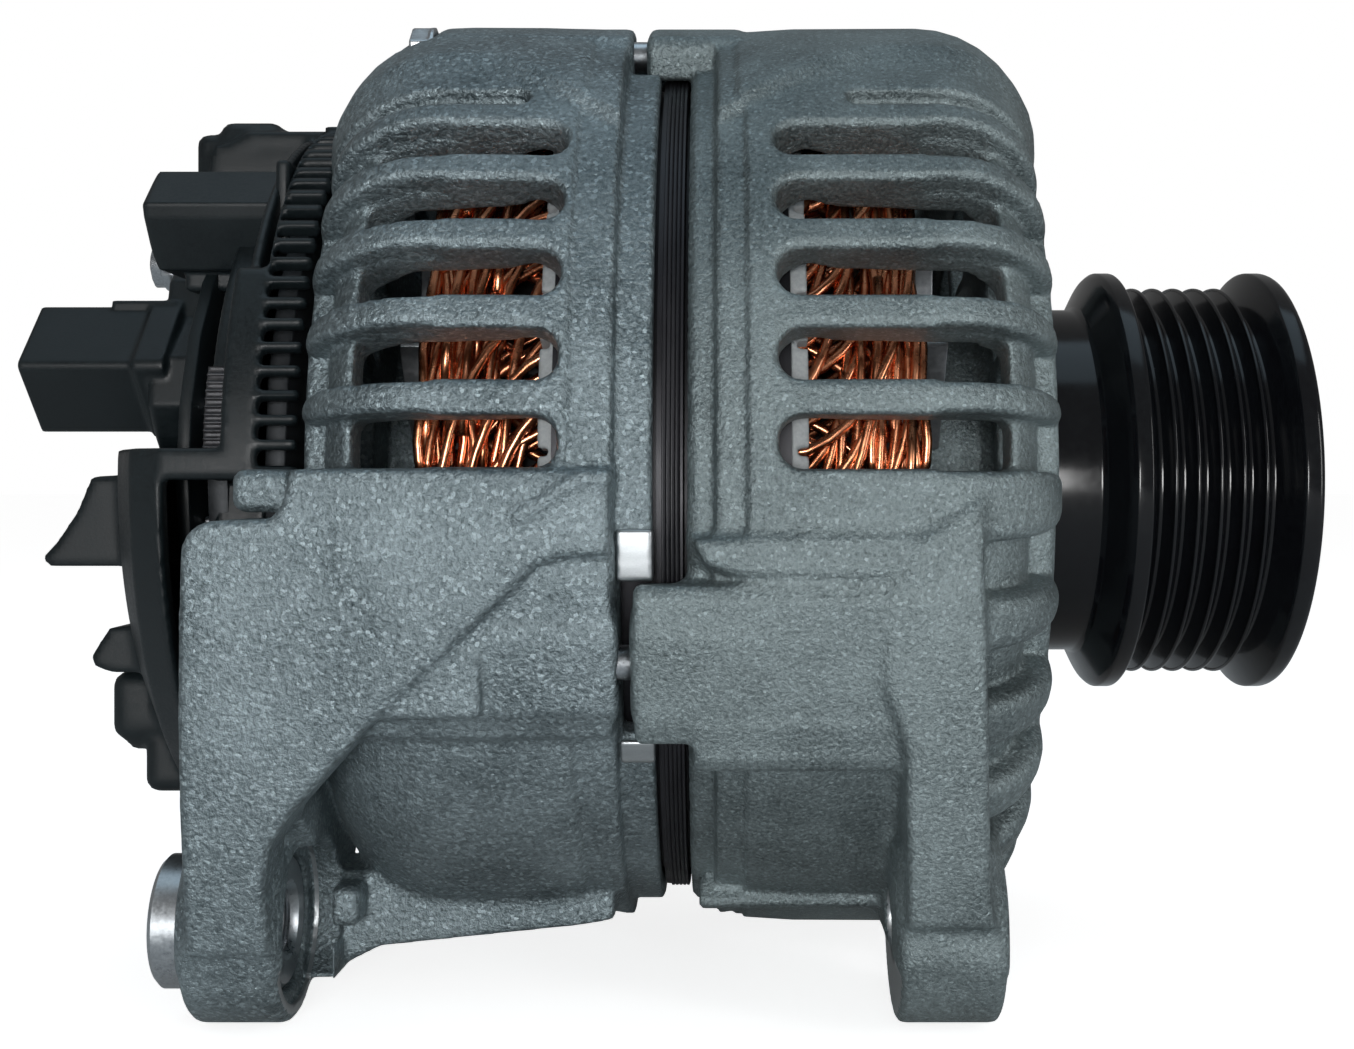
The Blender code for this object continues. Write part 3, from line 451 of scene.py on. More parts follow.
DARK_SINK = finish_of("DarkSink", (0.012, 0.014, 0.016), (0.03, 0.034, 0.038), 0.5, 0.5, 0.6, 12.0, 0.05)


def machined(made, chooser):
    """Gives the faces that the chooser picks by their centres the finish of a cut surface."""
    mesh = made.data
    mesh.materials.append(MACHINED)
    centres = np.zeros(len(mesh.polygons) * 3, np.float32)
    mesh.polygons.foreach_get("center", centres)
    chosen = chooser(centres.reshape(-1, 3) * 1000)
    mesh.polygons.foreach_set("material_index", chosen.astype(np.int32))


def spot_faces(centres, ends):
    """Which points lie on the flat ends of a lug."""
    close = np.hypot(centres[:, 1] - BUSH.y, centres[:, 2] - BUSH.z) < LUG_RADIUS - 1.2
    return close & ((abs(centres[:, 0] - ends[0]) < 0.3) | (abs(centres[:, 0] - ends[1]) < 0.3))


# ---------------------------------------------------------------- cast brackets

CORNER = 15.0
BOW = 0.0028
STEP = 0.65
ROOF = 1.7


def end_corner(turn, face, steps=8):
    """The rounded corner from the barrel to the end face, as points of (x, radius)."""
    quarter = [step / steps * pi / 2 for step in range(steps + 1)]
    return [(turn + (face - turn) * sin(a), BARREL - CORNER + CORNER * cos(a)) for a in quarter]


def slots(field):
    """Millimetres sideways from the nearest long vent slot's edge, below zero inside it."""
    local = (field.angle - FIRST_SLOT - SLOT_WIDTH / 2) % 90.0
    local = np.where(local > 70.0, local - 90.0, local)
    number = np.clip(np.round(local / SLOT_PITCH), 0, SLOTS - 1)
    half = radians(SLOT_WIDTH / 2) * BARREL
    across = abs(local - number * SLOT_PITCH) * field.radius * (pi / 180) - half
    plain_quarter = ((field.angle + 96.0) % 360.0) < 90.0
    return np.where(plain_quarter, 99.0, across)


def openings(field, across, near, far):
    """The through part of the slots, rounder at the end near the core."""
    centre, half = (near + far) / 2, abs(far - near) / 2
    soft = np.where((field.x - centre) * (near - centre) > 0, 3.2, 1.5)
    through = meet(across, abs(field.x - centre) - half, soft)
    return np.maximum(through, 55.0 - field.radius)


def windows(field):
    """The air inlets in the end face."""
    local = (field.angle - FIRST_SLOT - 12.0) % 90.0
    local = np.where(local > 70.0, local - 90.0, local)
    nearest = np.where(local > 13.8, local - 27.6, local)
    across = abs(nearest * field.radius * (pi / 180)) - 0.2 * field.radius
    half = (WINDOW_OUTER - WINDOW_INNER) / 2
    return meet(across, abs(field.radius - WINDOW_INNER - half) - half, 2.0)


def bolt_bosses(field, ends, half=7.5):
    """The square-shouldered bosses round the through bolts."""
    found = 99.0
    for angle in BOLT_ANGLES:
        found = np.minimum(
            found, meet(abs(field.around(angle)) - half, abs(field.radius - 71.0) - 5.6, 2.6)
        )
    return meet(found, abs(field.x - sum(ends) / 2) - abs(ends[1] - ends[0]) / 2, 1.4)


def roofs(field, outer, start, stop, wide, narrow):
    """Raised panels along three bolts, narrowing from the rim, with a sloped side that widens."""
    share = np.clip((field.x - start) / (stop - start), 0, 1)
    slope = 0.8 + 2.4 * share
    found = 99.0
    for angle in BOLT_ANGLES[1:]:
        found = np.minimum(
            found, abs(field.around(angle)) - (wide + (narrow - wide) * share) * BARREL * pi / 180
        )
    side = (found + slope * outer) / np.sqrt(1 + slope**2)
    behind = (start - field.x) * (1 if stop > start else -1)
    return np.maximum(np.maximum(side, outer - ROOF), behind)


def grooves(field, outer, angles, half, behind, depth):
    """Blind grooves that curve round the corner on to the end face."""
    found = 99.0
    for angle in angles:
        found = np.minimum(found, abs(field.around(angle)) - half)
    return np.maximum(meet(found, behind, 1.5), np.maximum(-outer - depth, 59.5 - field.radius))


def bolt_holes(field, solid, ends, radius):
    for spot in BOLTS:
        solid = cut(solid, field.along(spot.y, spot.z, radius, *ends), 0.3)
    return solid


def vents(field, body, outer, near, far, groove_end, way):
    """Cuts the long slots, their shallow run round the corner and the blind groove above them."""
    across = slots(field)
    body = cut(body, openings(field, across, near, far), 1.3)
    body = cut(body, grooves_behind(field, outer, across, groove_end, way), 1.3)
    blind = [quarter * 90.0 + FIRST_SLOT + 47.8 for quarter in range(3)]
    return cut(body, grooves(field, outer, blind, 1.9, (groove_end - 11.0 * way - field.x) * way, 2.4), 1.0)


def grooves_behind(field, outer, across, start, way):
    return np.maximum(
        np.maximum(across, -outer - 3.4), np.maximum(60.5 - field.radius, (start - field.x) * way)
    )


def drive_end_bracket():
    """The front casting: barrel, vents, bolt bosses, the arm on the lug side and its lug."""
    start, turn, lug = BAND[1] + 0.5, FRONT_FACE - 16.0, (-66.3, -51.5)
    field = Field((-106.0, -80.5, -81.5), (FRONT_HIGH.x + 2, 79.5, 79.5), STEP)
    outer = field.turned(
        [
            (start, 0), (start, 70.5), (-95.8, 70.6), (-95.5, 71.4), (-92.6, 71.5), (-92.3, 73.4),
            (-88.4, 73.5)
        ]
        + [(-88.1, 74.4), (-80, 74.9)]
        + end_corner(turn, FRONT_FACE)
        + [(FRONT_FACE, 34.5), (FRONT_HIGH.x, 33.5), (FRONT_HIGH.x, 0)]
    )
    hollow = field.turned(
        [(start - 9, 0), (start - 9, SEAT), (-84, SEAT), (-79.5, 69.5), (-75, 68.0), (turn + 3, 67.0)]
        + [(FRONT_FACE - 7, SEAT - 7), (FRONT_FACE - 5, SEAT - 12), (FRONT_FACE - 5, 33.5)]
        + [(FRONT_FACE - 7, 31.5), (FRONT_FACE - 16.5, 31.5), (FRONT_FACE - 16.5, 0)]
    )
    bore = field.turned([(-70, 0), (-70, 23.8), (-46.2, 23.8), (-46.2, 20), (-40, 20), (-40, 0)])
    body = join(outer, roofs(field, outer, -92.3, -69.0, 25.0, 13.5), 0.5)
    body = vents(field, body, outer, -84.0, -52.5, -62.0, 1)
    dips = [-9.5 - 12.0 * k for k in range(6)]
    body = cut(body, grooves(field, outer, dips, 3.6, -63.0 - field.x, 4.5), 2.8)
    body = join(body, bolt_bosses(field, (-103.4, -88.0)), 0.9)
    boss = [
        (-58, -14.0), (-74.7, -14.0), (-75.5, -16.0), (-74.3, -21.7), (-70.9, -33.0), (-69.4, -35.8),
        (-58, -35.8)
    ]
    apron = [(-58, -30.0), (-70.9, -33.0), (-69.4, -38.0), (-68.3, -39.6), (-58, -39.6)]
    body = join(body, field.bar(boss, -103.4, -60.0, 0.7), 2.4)
    body = join(body, field.bar(apron, -95.5, -60.0, 0.7), 0.9)
    shelf = field.plate(
        [(-95.5, -8.0), (-64.0, -8.0), (-64.0, -12.4), (-90.5, -12.2), (-94.0, -11.0)], -75.2, 12.0, 0,
        0.6
    )
    body = join(body, shelf, 2.6)
    arm = [
        (-69.5, -16.0), (-66.0, -9.0), (-61.0, -5.0), (-57.3, -3.0), (-55.4, -44.8), (-54.5, -58.0),
        (-53.6, -62.0)
    ]
    arm += [(-65.9, -62.0), (-66.3, -51.0), (-66.7, -44.8), (-67.1, -36.3), (-68.0, -33.0), (-69.9, -27.0)]
    body = join(body, field.plate(arm, -75.9, 16.0, BOW, 1.1), 1.8)
    root = [(-66.6, -52.0), (-53.4, -52.0), (-52.6, -68.0), (-66.3, -68.0)]
    body = join(body, field.along(BUSH.y, BUSH.z, LUG_RADIUS, *lug, 1.2), 2.0)
    body = join(body, field.plate(root, -62.0, 32.0, 0, 1.6), 3.0)
    web = [(-62, -46.0), (-30, -46.0), (-30, -70.0), (-36, -66.0), (-50, -60.0)]
    body = join(body, field.bar(web, -65.5, -56.0, 1.4), 2.0)
    body = join(body, field.bar(ridge_outline(-58.0, 1.2, 1.5), -95.0, -64.0, 0.5), 1.0)
    body = cut(body, np.maximum(windows(field), FRONT_FACE - 9 - field.x), 1.2)
    body = cut(body, field.along(0, 0, BAND_RADIUS + 0.6, -110, start, 0), 0.4)
    body = cut(cut(body, hollow, 0.5), bore, 0.4)
    body = cut(body, field.along(BUSH.y, BUSH.z, 5.25, -72, -48, 0), 0.6)
    body = bolt_holes(field, body, (-110, -75), 2.9)
    made = place(
        cast("drive_end_casting", field, body), CAST, "housing", "cast_aluminium", "drive_end_bracket"
    )
    machined(made, lambda c: spot_faces(c, lug))


def ridge_outline(angle, half, height):
    """A low ridge along the barrel, as a closed outline of (y, z)."""
    away = radians(angle)
    foot, top = BARREL - 3, BARREL + height
    corners = []
    for radius, side in ((foot, -half), (top, -half), (top, half), (foot, half)):
        corners.append((-radius * cos(away) + side * sin(away), radius * sin(away) + side * cos(away)))
    return corners


def arc_points(x, z, radius, first, last, steps):
    """Points of an arc in X and Z, its angles in degrees from +X towards +Z."""
    turns = [radians(first + (last - first) * k / steps) for k in range(steps + 1)]
    return [(x + radius * cos(t), z + radius * sin(t)) for t in turns]


def slip_ring_end_bracket():
    """The rear casting: barrel, vents, the broad arm, its lug and the posts for the cover."""
    start, turn, lug = BAND[0] - 0.5, REAR_FACE + 18.5, (-168.0, -154.0)
    field = Field((-186.0, -80.5, -81.5), (start + 2, 79.5, 79.5), STEP)
    outer = field.turned(
        [
            (start, 0), (start, 71.3), (-106.0, 71.3), (-106.3, 73.4), (-112.2, 73.7), (-112.5, 74.4),
            (-120, 74.9)
        ]
        + end_corner(turn, REAR_FACE)
        + [(REAR_FACE, 34.5), (REAR_FACE - 0.6, 33.5), (REAR_FACE - 0.6, 0)]
    )
    hollow = field.turned(
        [(start + 9, 0), (start + 9, SEAT), (-113, SEAT), (-117.5, 69.5), (-122, 68.0), (turn - 3, 67.0)]
        + [(REAR_FACE + 7, SEAT - 7), (REAR_FACE + 5, SEAT - 12), (REAR_FACE + 5, 25.0)]
        + [(-139.5, 25.0), (-139.5, 0)]
    )
    body = join(outer, roofs(field, outer, -106.3, -125.8, 25.5, 16.7), 0.5)
    body = vents(field, body, outer, -113.6, -142.0, -131.0, -1)
    body = join(body, bolt_bosses(field, (-137.0, -105.4)), 0.9)
    boss = [
        (-58, -8.5), (-74.2, -8.5), (-74.3, -14.0), (-73.2, -20.0), (-70.2, -31.0), (-67.4, -35.2),
        (-58, -35.2)
    ]
    body = join(body, field.bar(boss, -141.0, -106.4, 0.8), 1.6)
    arm = arc_points(-158.4, -9.9, 4.5, 175, 90, 6)
    arm += [(-151.2, -5.2), (-149.6, -3.4), (-148.4, 1.4), (-106.4, 1.4), (-106.5, -9.9), (-113.1, -10.2)]
    arm += [
        (-116.2, -11.4), (-124.1, -19.2), (-138.8, -33.1), (-149.5, -45.0), (-153.0, -50.0),
        (-154.2, -57.0)
    ]
    arm += [(-154.2, -66.0), (-165.8, -66.0)]
    body = join(body, field.plate(arm, -76.3, 9.5, BOW, 1.1), 1.0)
    pad = [
        (-142.0, -22.3), (-124.4, -22.3), (-123.8, -23.0), (-123.8, -31.2), (-124.6, -32.0),
        (-146.0, -32.0)
    ]
    body = join(body, field.plate(pad, -75.4, 12.0, BOW, 0.6), 0.7)
    body = join(body, field.box((-157.6, -71.0, -4.3), (-149.5, -60.0, 1.4), 1.6), 1.0)
    crest = field.plate(
        [(-119.0, -4.6), (-110.2, 1.0), (-106.3, 1.0), (-106.3, -0.4), (-110.0, -0.4), (-118.4, -5.6)],
        -77.0, 6.0, 0, 0.4
    )
    body = join(body, crest, 1.2)
    root = [(-167.0, -50.0), (-154.6, -50.0), (-154.2, -68.0), (-167.0, -68.0)]
    body = join(body, field.along(BUSH.y, BUSH.z, LUG_RADIUS, *lug, 1.6), 1.6)
    body = join(body, field.plate(root, -62.0, 24.0, 0, 1.6), 3.0)
    web = [(-68.0, -38.0), (-62.5, -46.0), (-36.0, -63.5), (-28.0, -66.0), (-20.0, -50.0), (-50.0, -30.0)]
    body = join(body, field.bar(web, -158.0, -150.6, 1.0), 1.8)
    keel = [
        (-156.5, -60.0), (-108.0, -60.0), (-108.0, -67.5), (-113.0, -68.4), (-144.0, -71.6),
        (-152.0, -75.6), (-156.5, -77.0)
    ]
    body = join(body, field.plate(keel, -38.5, 12.0, 0, 0.8), 1.0)
    body = join(body, field.box((-151.0, -45.0, -67.0), (-145.8, -36.0, -61.0), 1.4), 0.8)
    body = join(body, field.box((-155.0, -46.0, -75.5), (-149.4, -34.0, -69.0), 1.4), 0.8)
    for angle in COVER_POSTS:
        spot = at(0, 45.0, angle)
        body = join(body, field.along(spot.y, spot.z, 4.5, COVER_LOW.x + 12.7, REAR_FACE + 2, 0.5), 1.5)
    body = cut(body, np.maximum(windows(field), field.x - (REAR_FACE + 9)), 1.2)
    body = cut(cut(body, hollow, 0.5), field.along(0, 0, 19.5, -160, -130, 0), 0.4)
    body = cut(body, field.along(BUSH.y, BUSH.z, (BUSH_HIGH.z - BUSH_LOW.z) / 2 + 0.25, -172, -150, 0), 0.5)
    body = cut(body, field.along(BUSH.y, BUSH.z, 11.8, -154.9, -150, 0), 0.3)
    for angle in BOLT_ANGLES:
        half = 12.4 if angle < 0 else 8.2
        notch = meet(abs(field.around(angle)) - half, abs(field.x + 102.6) - 2.8, 0.8)
        body = cut(body, np.maximum(notch, 60.0 - field.radius), 0.3)
    body = bolt_holes(field, body, (-140.0, -95.0), 2.9)
    body = bolt_holes(field, body, (-160.0, -137.0), 4.95)
    made = cast("slip_ring_end_casting", field, body)
    place(made, COARSE_CAST, "housing", "cast_aluminium", "slip_ring_end_bracket")
    machined(made, lambda c: spot_faces(c, lug))


def joint_faces():
    """The pale cut faces beside the lug-side bolt, where the two castings are clamped."""
    for number, (low_z, high_z) in enumerate(((-13.6, -6.6), (-39.6, -36.2))):
        field = Field((-107, -76, low_z - 2), (-99, -60, high_z + 2), 0.35)
        pad = meet(
            abs(field.radius - 68.5) - 4.6, abs(field.z - (low_z + high_z) / 2) - (high_z - low_z) / 2,
            0.4
        )
        pad = meet(pad, abs(field.x + 103.3) - 2.45, 0.4)
        place(cast(f"joint_face_{number + 1}", field, pad), MACHINED, "housing", "machined_aluminium")


# ---------------------------------------------------------------- stator


def laminations():
    """The stack of steel sheets, whose edges show as a fine-ridged black band between the castings."""
    profile = [(CORE_HIGH.x, 51.0), (CORE_HIGH.x, SEAT - 0.5)]
    sheet = 0.62
    count = int((BAND[1] - BAND[0]) / sheet)
    profile += [(BAND[1] + 0.1, SEAT - 0.5), (BAND[1], BAND_RADIUS - 0.3)]
    for k in range(count):
        edge = BAND[1] - sheet * k
        profile += [
            (edge - 0.12, BAND_RADIUS), (edge - 0.44, BAND_RADIUS), (edge - 0.53, BAND_RADIUS - 0.25)
        ]
    profile += [
        (BAND[0], BAND_RADIUS - 0.3), (BAND[0] - 0.1, SEAT - 0.5), (CORE_LOW.x, SEAT - 0.5),
        (CORE_LOW.x, 51.0)
    ]
    made = lathe("stator_laminations", profile, 180, sharp=50)
    place(made, LAMINATED, "housing", "laminated_steel", "stator_core")


def winding():
    """The wires beyond the core at both ends: slanting up from the slots, then bending round the bundle."""
    paths = []
    for core, end, way in ((CORE_HIGH.x, WINDING_HIGH.x, 1), (CORE_LOW.x, WINDING_LOW.x, -1)):
        reach = abs(end - core)
        for layer, radius in enumerate((62.6, 61.3)):
            for slot in range(STATOR_SLOTS):
                start = (slot + 0.5 * layer) * 360.0 / STATOR_SLOTS
                place_in_bundle = (slot * 7 + 3 * layer) % 9
                far = reach - 1.2 - 1.35 * place_in_bundle
                depth = 0.16 * place_in_bundle + 0.5 * sin(slot * 2.4)
                points = []
                for step in range(12):
                    share = step / 11
                    rise = -2.0 + (far + 2.0) * sin(share * pi / 2) ** 0.8
                    turn = way * (3.0 + 38.0 * share ** 1.7)
                    points.append(at(core + way * rise, radius - depth * share, start + turn))
                paths.append(points)
        for layer, radius in enumerate((59.8, 58.4, 57.0, 55.4)):
            lean = 15.0 if layer % 2 else -15.0
            for slot in range(STATOR_SLOTS):
                start = slot * 360.0 / STATOR_SLOTS + layer * 1.7
                points = []
                for step in range(8):
                    share = step / 7
                    rise = -2.0 + (reach - 4.0) * sin(share * pi / 2) ** 0.9
                    sagging = radius - 0.9 * sin(share * pi)
                    points.append(at(core + way * rise, sagging, start + lean * share ** 1.3))
                paths.append(points)
        for ring in range(15):
            row, column = divmod(ring, 5)
            radius = 61.0 - 1.7 * row - 0.25 * (column % 2)
            station = end - way * (1.0 + 1.6 * column + 0.5 * (row % 2))
            points = []
            for step in range(145):
                angle = 2.5 * step
                wave = 0.55 * sin(radians(angle * 9 + 70 * ring)) + 0.4 * sin(radians(angle * 23 + 40 * ring))
                swell = 0.4 * sin(radians(angle * 14 + 95 * ring))
                points.append(at(station + way * wave, radius + swell, angle))
            paths.append(points)
    made = tubes("winding_wires", paths, WIRE_RADIUS)
    outward(made)
    place(made, COPPER, "housing", "copper_wire", "stator_winding")


def slot_liners():
    """The pale insulation that stands out of the core's slots at both ends."""
    for name, near, far in (
        ("front", CORE_HIGH.x - 0.3, CORE_HIGH.x + 2.4), ("rear", CORE_LOW.x + 0.3, CORE_LOW.x - 2.0)
    ):
        low, high = min(near, far), max(near, far)
        field = Field((low - 1, -67, -67), (high + 1, 67, 67), 0.45)
        ring = meet(abs(field.radius - 62.9) - 2.9, abs(field.x - (low + high) / 2) - (high - low) / 2, 0.4)
        local = (field.angle + 360.0) % (360.0 / STATOR_SLOTS) - 180.0 / STATOR_SLOTS
        gap = abs(local) * field.radius * (pi / 180) - 0.55
        ring = cut(ring, meet(gap, abs(field.x - far) - 1.5, 0.2), 0.3)
        place(cast(f"slot_liners_{name}", field, ring), LINER, "housing", "bobbin_plastic")


# ---------------------------------------------------------------- turned pieces


def pulley():
    """The ribbed pulley, with a recessed front for its nut and a cone at the back."""
    flange = (PULLEY_HIGH.z - PULLEY_LOW.z) / 2
    front, back, seat = PULLEY_HIGH.x, PULLEY_LOW.x + 4.0, -18.0
    ridge, root = flange - 2.6, flange - 5.5
    pitch, first = GROOVE_PITCH, FIRST_GROOVE
    last = first - GROOVES * pitch
    profile = [
        (seat, 8.3), (seat, 24.4), (seat + 0.8, 25.2), (front - 1.4, 26.0), (front, 27.4),
        (front, flange - 0.9)
    ]
    profile += [
        (front - 0.25, flange - 0.25), (front - 0.9, flange), (first + 1.7, flange),
        (first + 1.3, flange - 0.5)
    ]
    for k in range(GROOVES):
        start = first - k * pitch
        profile += [
            (start - 0.1, ridge - 0.5), (start - pitch / 2 + 0.35, root + 0.1),
            (start - pitch / 2 - 0.35, root + 0.1)
        ]
        if k < GROOVES - 1:
            profile += [
                (start - pitch + 0.42, ridge - 0.3), (start - pitch + 0.2, ridge),
                (start - pitch - 0.2, ridge)
            ]
            profile.append((start - pitch - 0.42, ridge - 0.3))
    profile += [
        (last + 0.1, ridge - 0.5), (last - 0.3, flange - 0.5), (last - 0.7, flange),
        (last - 3.0, flange)
    ]
    profile += [
        (last - 3.8, flange - 0.7), (last - 4.2, flange - 1.4), (last - 6.4, 30.2), (last - 7.2, 29.7)
    ]
    profile += [
        (back + 0.7, 29.7), (back, 29.0), (back, 26.5), (back + 4.5, 25.0), (back + 5.0, 24.4),
        (back + 5.0, 14.6)
    ]
    profile += [
        (back + 4.5, 14.0), (back, 12.5), (PULLEY_LOW.x + 0.4, 12.5), (PULLEY_LOW.x, 12.1),
        (PULLEY_LOW.x, 8.8)
    ]
    profile.append((PULLEY_LOW.x + 0.4, 8.3))
    place(
        lathe("pulley_coated", softened(profile, 0.22, 2), 180), BLACK_COAT, "rotor", "black_coat",
        "pulley"
    )


def hexagon(field, across_flats, y, z, turn=0.0):
    """The distance to a hexagonal bar along X."""
    half, found = across_flats / 2, None
    for k in range(3):
        way = radians(turn + 60.0 * k)
        side = abs((field.y - y) * cos(way) + (field.z - z) * sin(way)) - half
        found = side if found is None else np.maximum(found, side)
    return found


def nut(name, node, flats, washer, bore, body, material, slot, turn=0.0):
    """A hexagon nut with a washer face and chamfered corners, round the middle of its CAD node."""
    low, high = span(node)
    y, z = (low.y + high.y) / 2, (low.z + high.z) / 2
    reach = washer + 1.0
    field = Field((low.x - 1, y - reach, z - reach), (high.x + 1, y + reach, z + reach), 0.3)
    radius = np.hypot(field.y - y, field.z - z)
    middle_x, half = (low.x + high.x) / 2, (high.x - low.x) / 2
    solid = meet(hexagon(field, flats, y, z, turn), abs(field.x - middle_x) - half, 0.2)
    solid = np.maximum(solid, radius * 0.5 + (field.x - high.x) * 0.866 - flats * 0.268)
    solid = join(solid, field.along(y, z, washer, low.x, low.x + 2.0, 0.3), 0.3)
    thread = 0.25 * np.sin(2 * pi * field.x / 1.5)
    solid = cut(solid, np.maximum(radius - bore - thread, abs(field.x - middle_x) - half - 3), 0.2)
    place(cast(name, field, solid), material, body, slot, node)


def bolt(number, spot):
    """A through bolt: hexagon head with a flange, plain shank and rolled thread at its far end."""
    low, high = span(f"through_bolt_{number}")
    profile = [(low.x + 3.6, 0.0), (high.x, 0.0), (high.x, 1.9), (high.x - 0.6, 2.3)]
    threads = 30
    for k in range(threads):
        crest = high.x - 0.8 - k * 0.8
        profile += [(crest, 2.5), (crest - 0.4, 2.15)]
    profile += [
        (high.x - 0.8 - threads * 0.8, 2.4), (low.x + 3.9, 2.4), (low.x + 3.9, 4.4), (low.x + 3.6, 4.6)
    ]
    shank = lathe(f"through_bolt_shank_{number}", profile, 32, spot.y, spot.z)
    field = Field((low.x - 0.9, spot.y - 6, spot.z - 6), (low.x + 5, spot.y + 6, spot.z + 6), 0.25)
    radius = np.hypot(field.y - spot.y, field.z - spot.z)
    head = meet(hexagon(field, 8.0, spot.y, spot.z, 10.0), abs(field.x - low.x - 2.0) - 2.0, 0.2)
    head = np.maximum(head, radius * 0.5 - (field.x - low.x) * 0.866 - 2.15)
    head = join(head, field.along(spot.y, spot.z, 4.6, low.x + 3.1, low.x + 3.9, 0.2), 0.3)
    top = cast(f"through_bolt_head_{number}", field, head)
    place(shank, ZINC, "housing", "zinc_steel")
    place(top, ZINC, "housing", "zinc_steel")
    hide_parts(f"through_bolt_{number}")


def threaded_bush():
    """The zinc-plated steel bush in the rear lug, with a thread rolled down its bore."""
    outer = (BUSH_HIGH.z - BUSH_LOW.z) / 2
    profile = [
        (BUSH_LOW.x, 5.6), (BUSH_LOW.x, outer - 0.7), (BUSH_LOW.x + 0.7, outer),
        (BUSH_HIGH.x - 0.7, outer)
    ]
    profile += [(BUSH_HIGH.x, outer - 0.7), (BUSH_HIGH.x, 5.9)]
    pitch = 1.5
    for k in range(int((BUSH_HIGH.x - BUSH_LOW.x - 1.0) / pitch)):
        crest = BUSH_HIGH.x - 0.5 - k * pitch
        profile += [(crest - 0.1, 5.55), (crest - 0.6, 5.05), (crest - 0.9, 5.05), (crest - 1.4, 5.55)]
    made = lathe("bush_plated", profile, 72, BUSH.y, BUSH.z)
    place(made, ZINC, "bush", "zinc_steel", "mounting_bush")


# ---------------------------------------------------------------- rear mouldings


def moulded(name, field, solid, *nodes):
    return place(cast(name, field, solid), PLASTIC, "housing", "black_plastic", *nodes)


def rolled_sleeve(field, y, z, side, x0, x1, soft):
    """A square bar along X that stands on one corner."""
    u = (field.y - y + field.z - z) * sin(pi / 4)
    v = (field.y - y - field.z + z) * sin(pi / 4)
    bar = meet(abs(u) - side / 2, abs(v) - side / 2, soft)
    return meet(bar, abs(field.x - (x0 + x1) / 2) - (x1 - x0) / 2, 0.3)


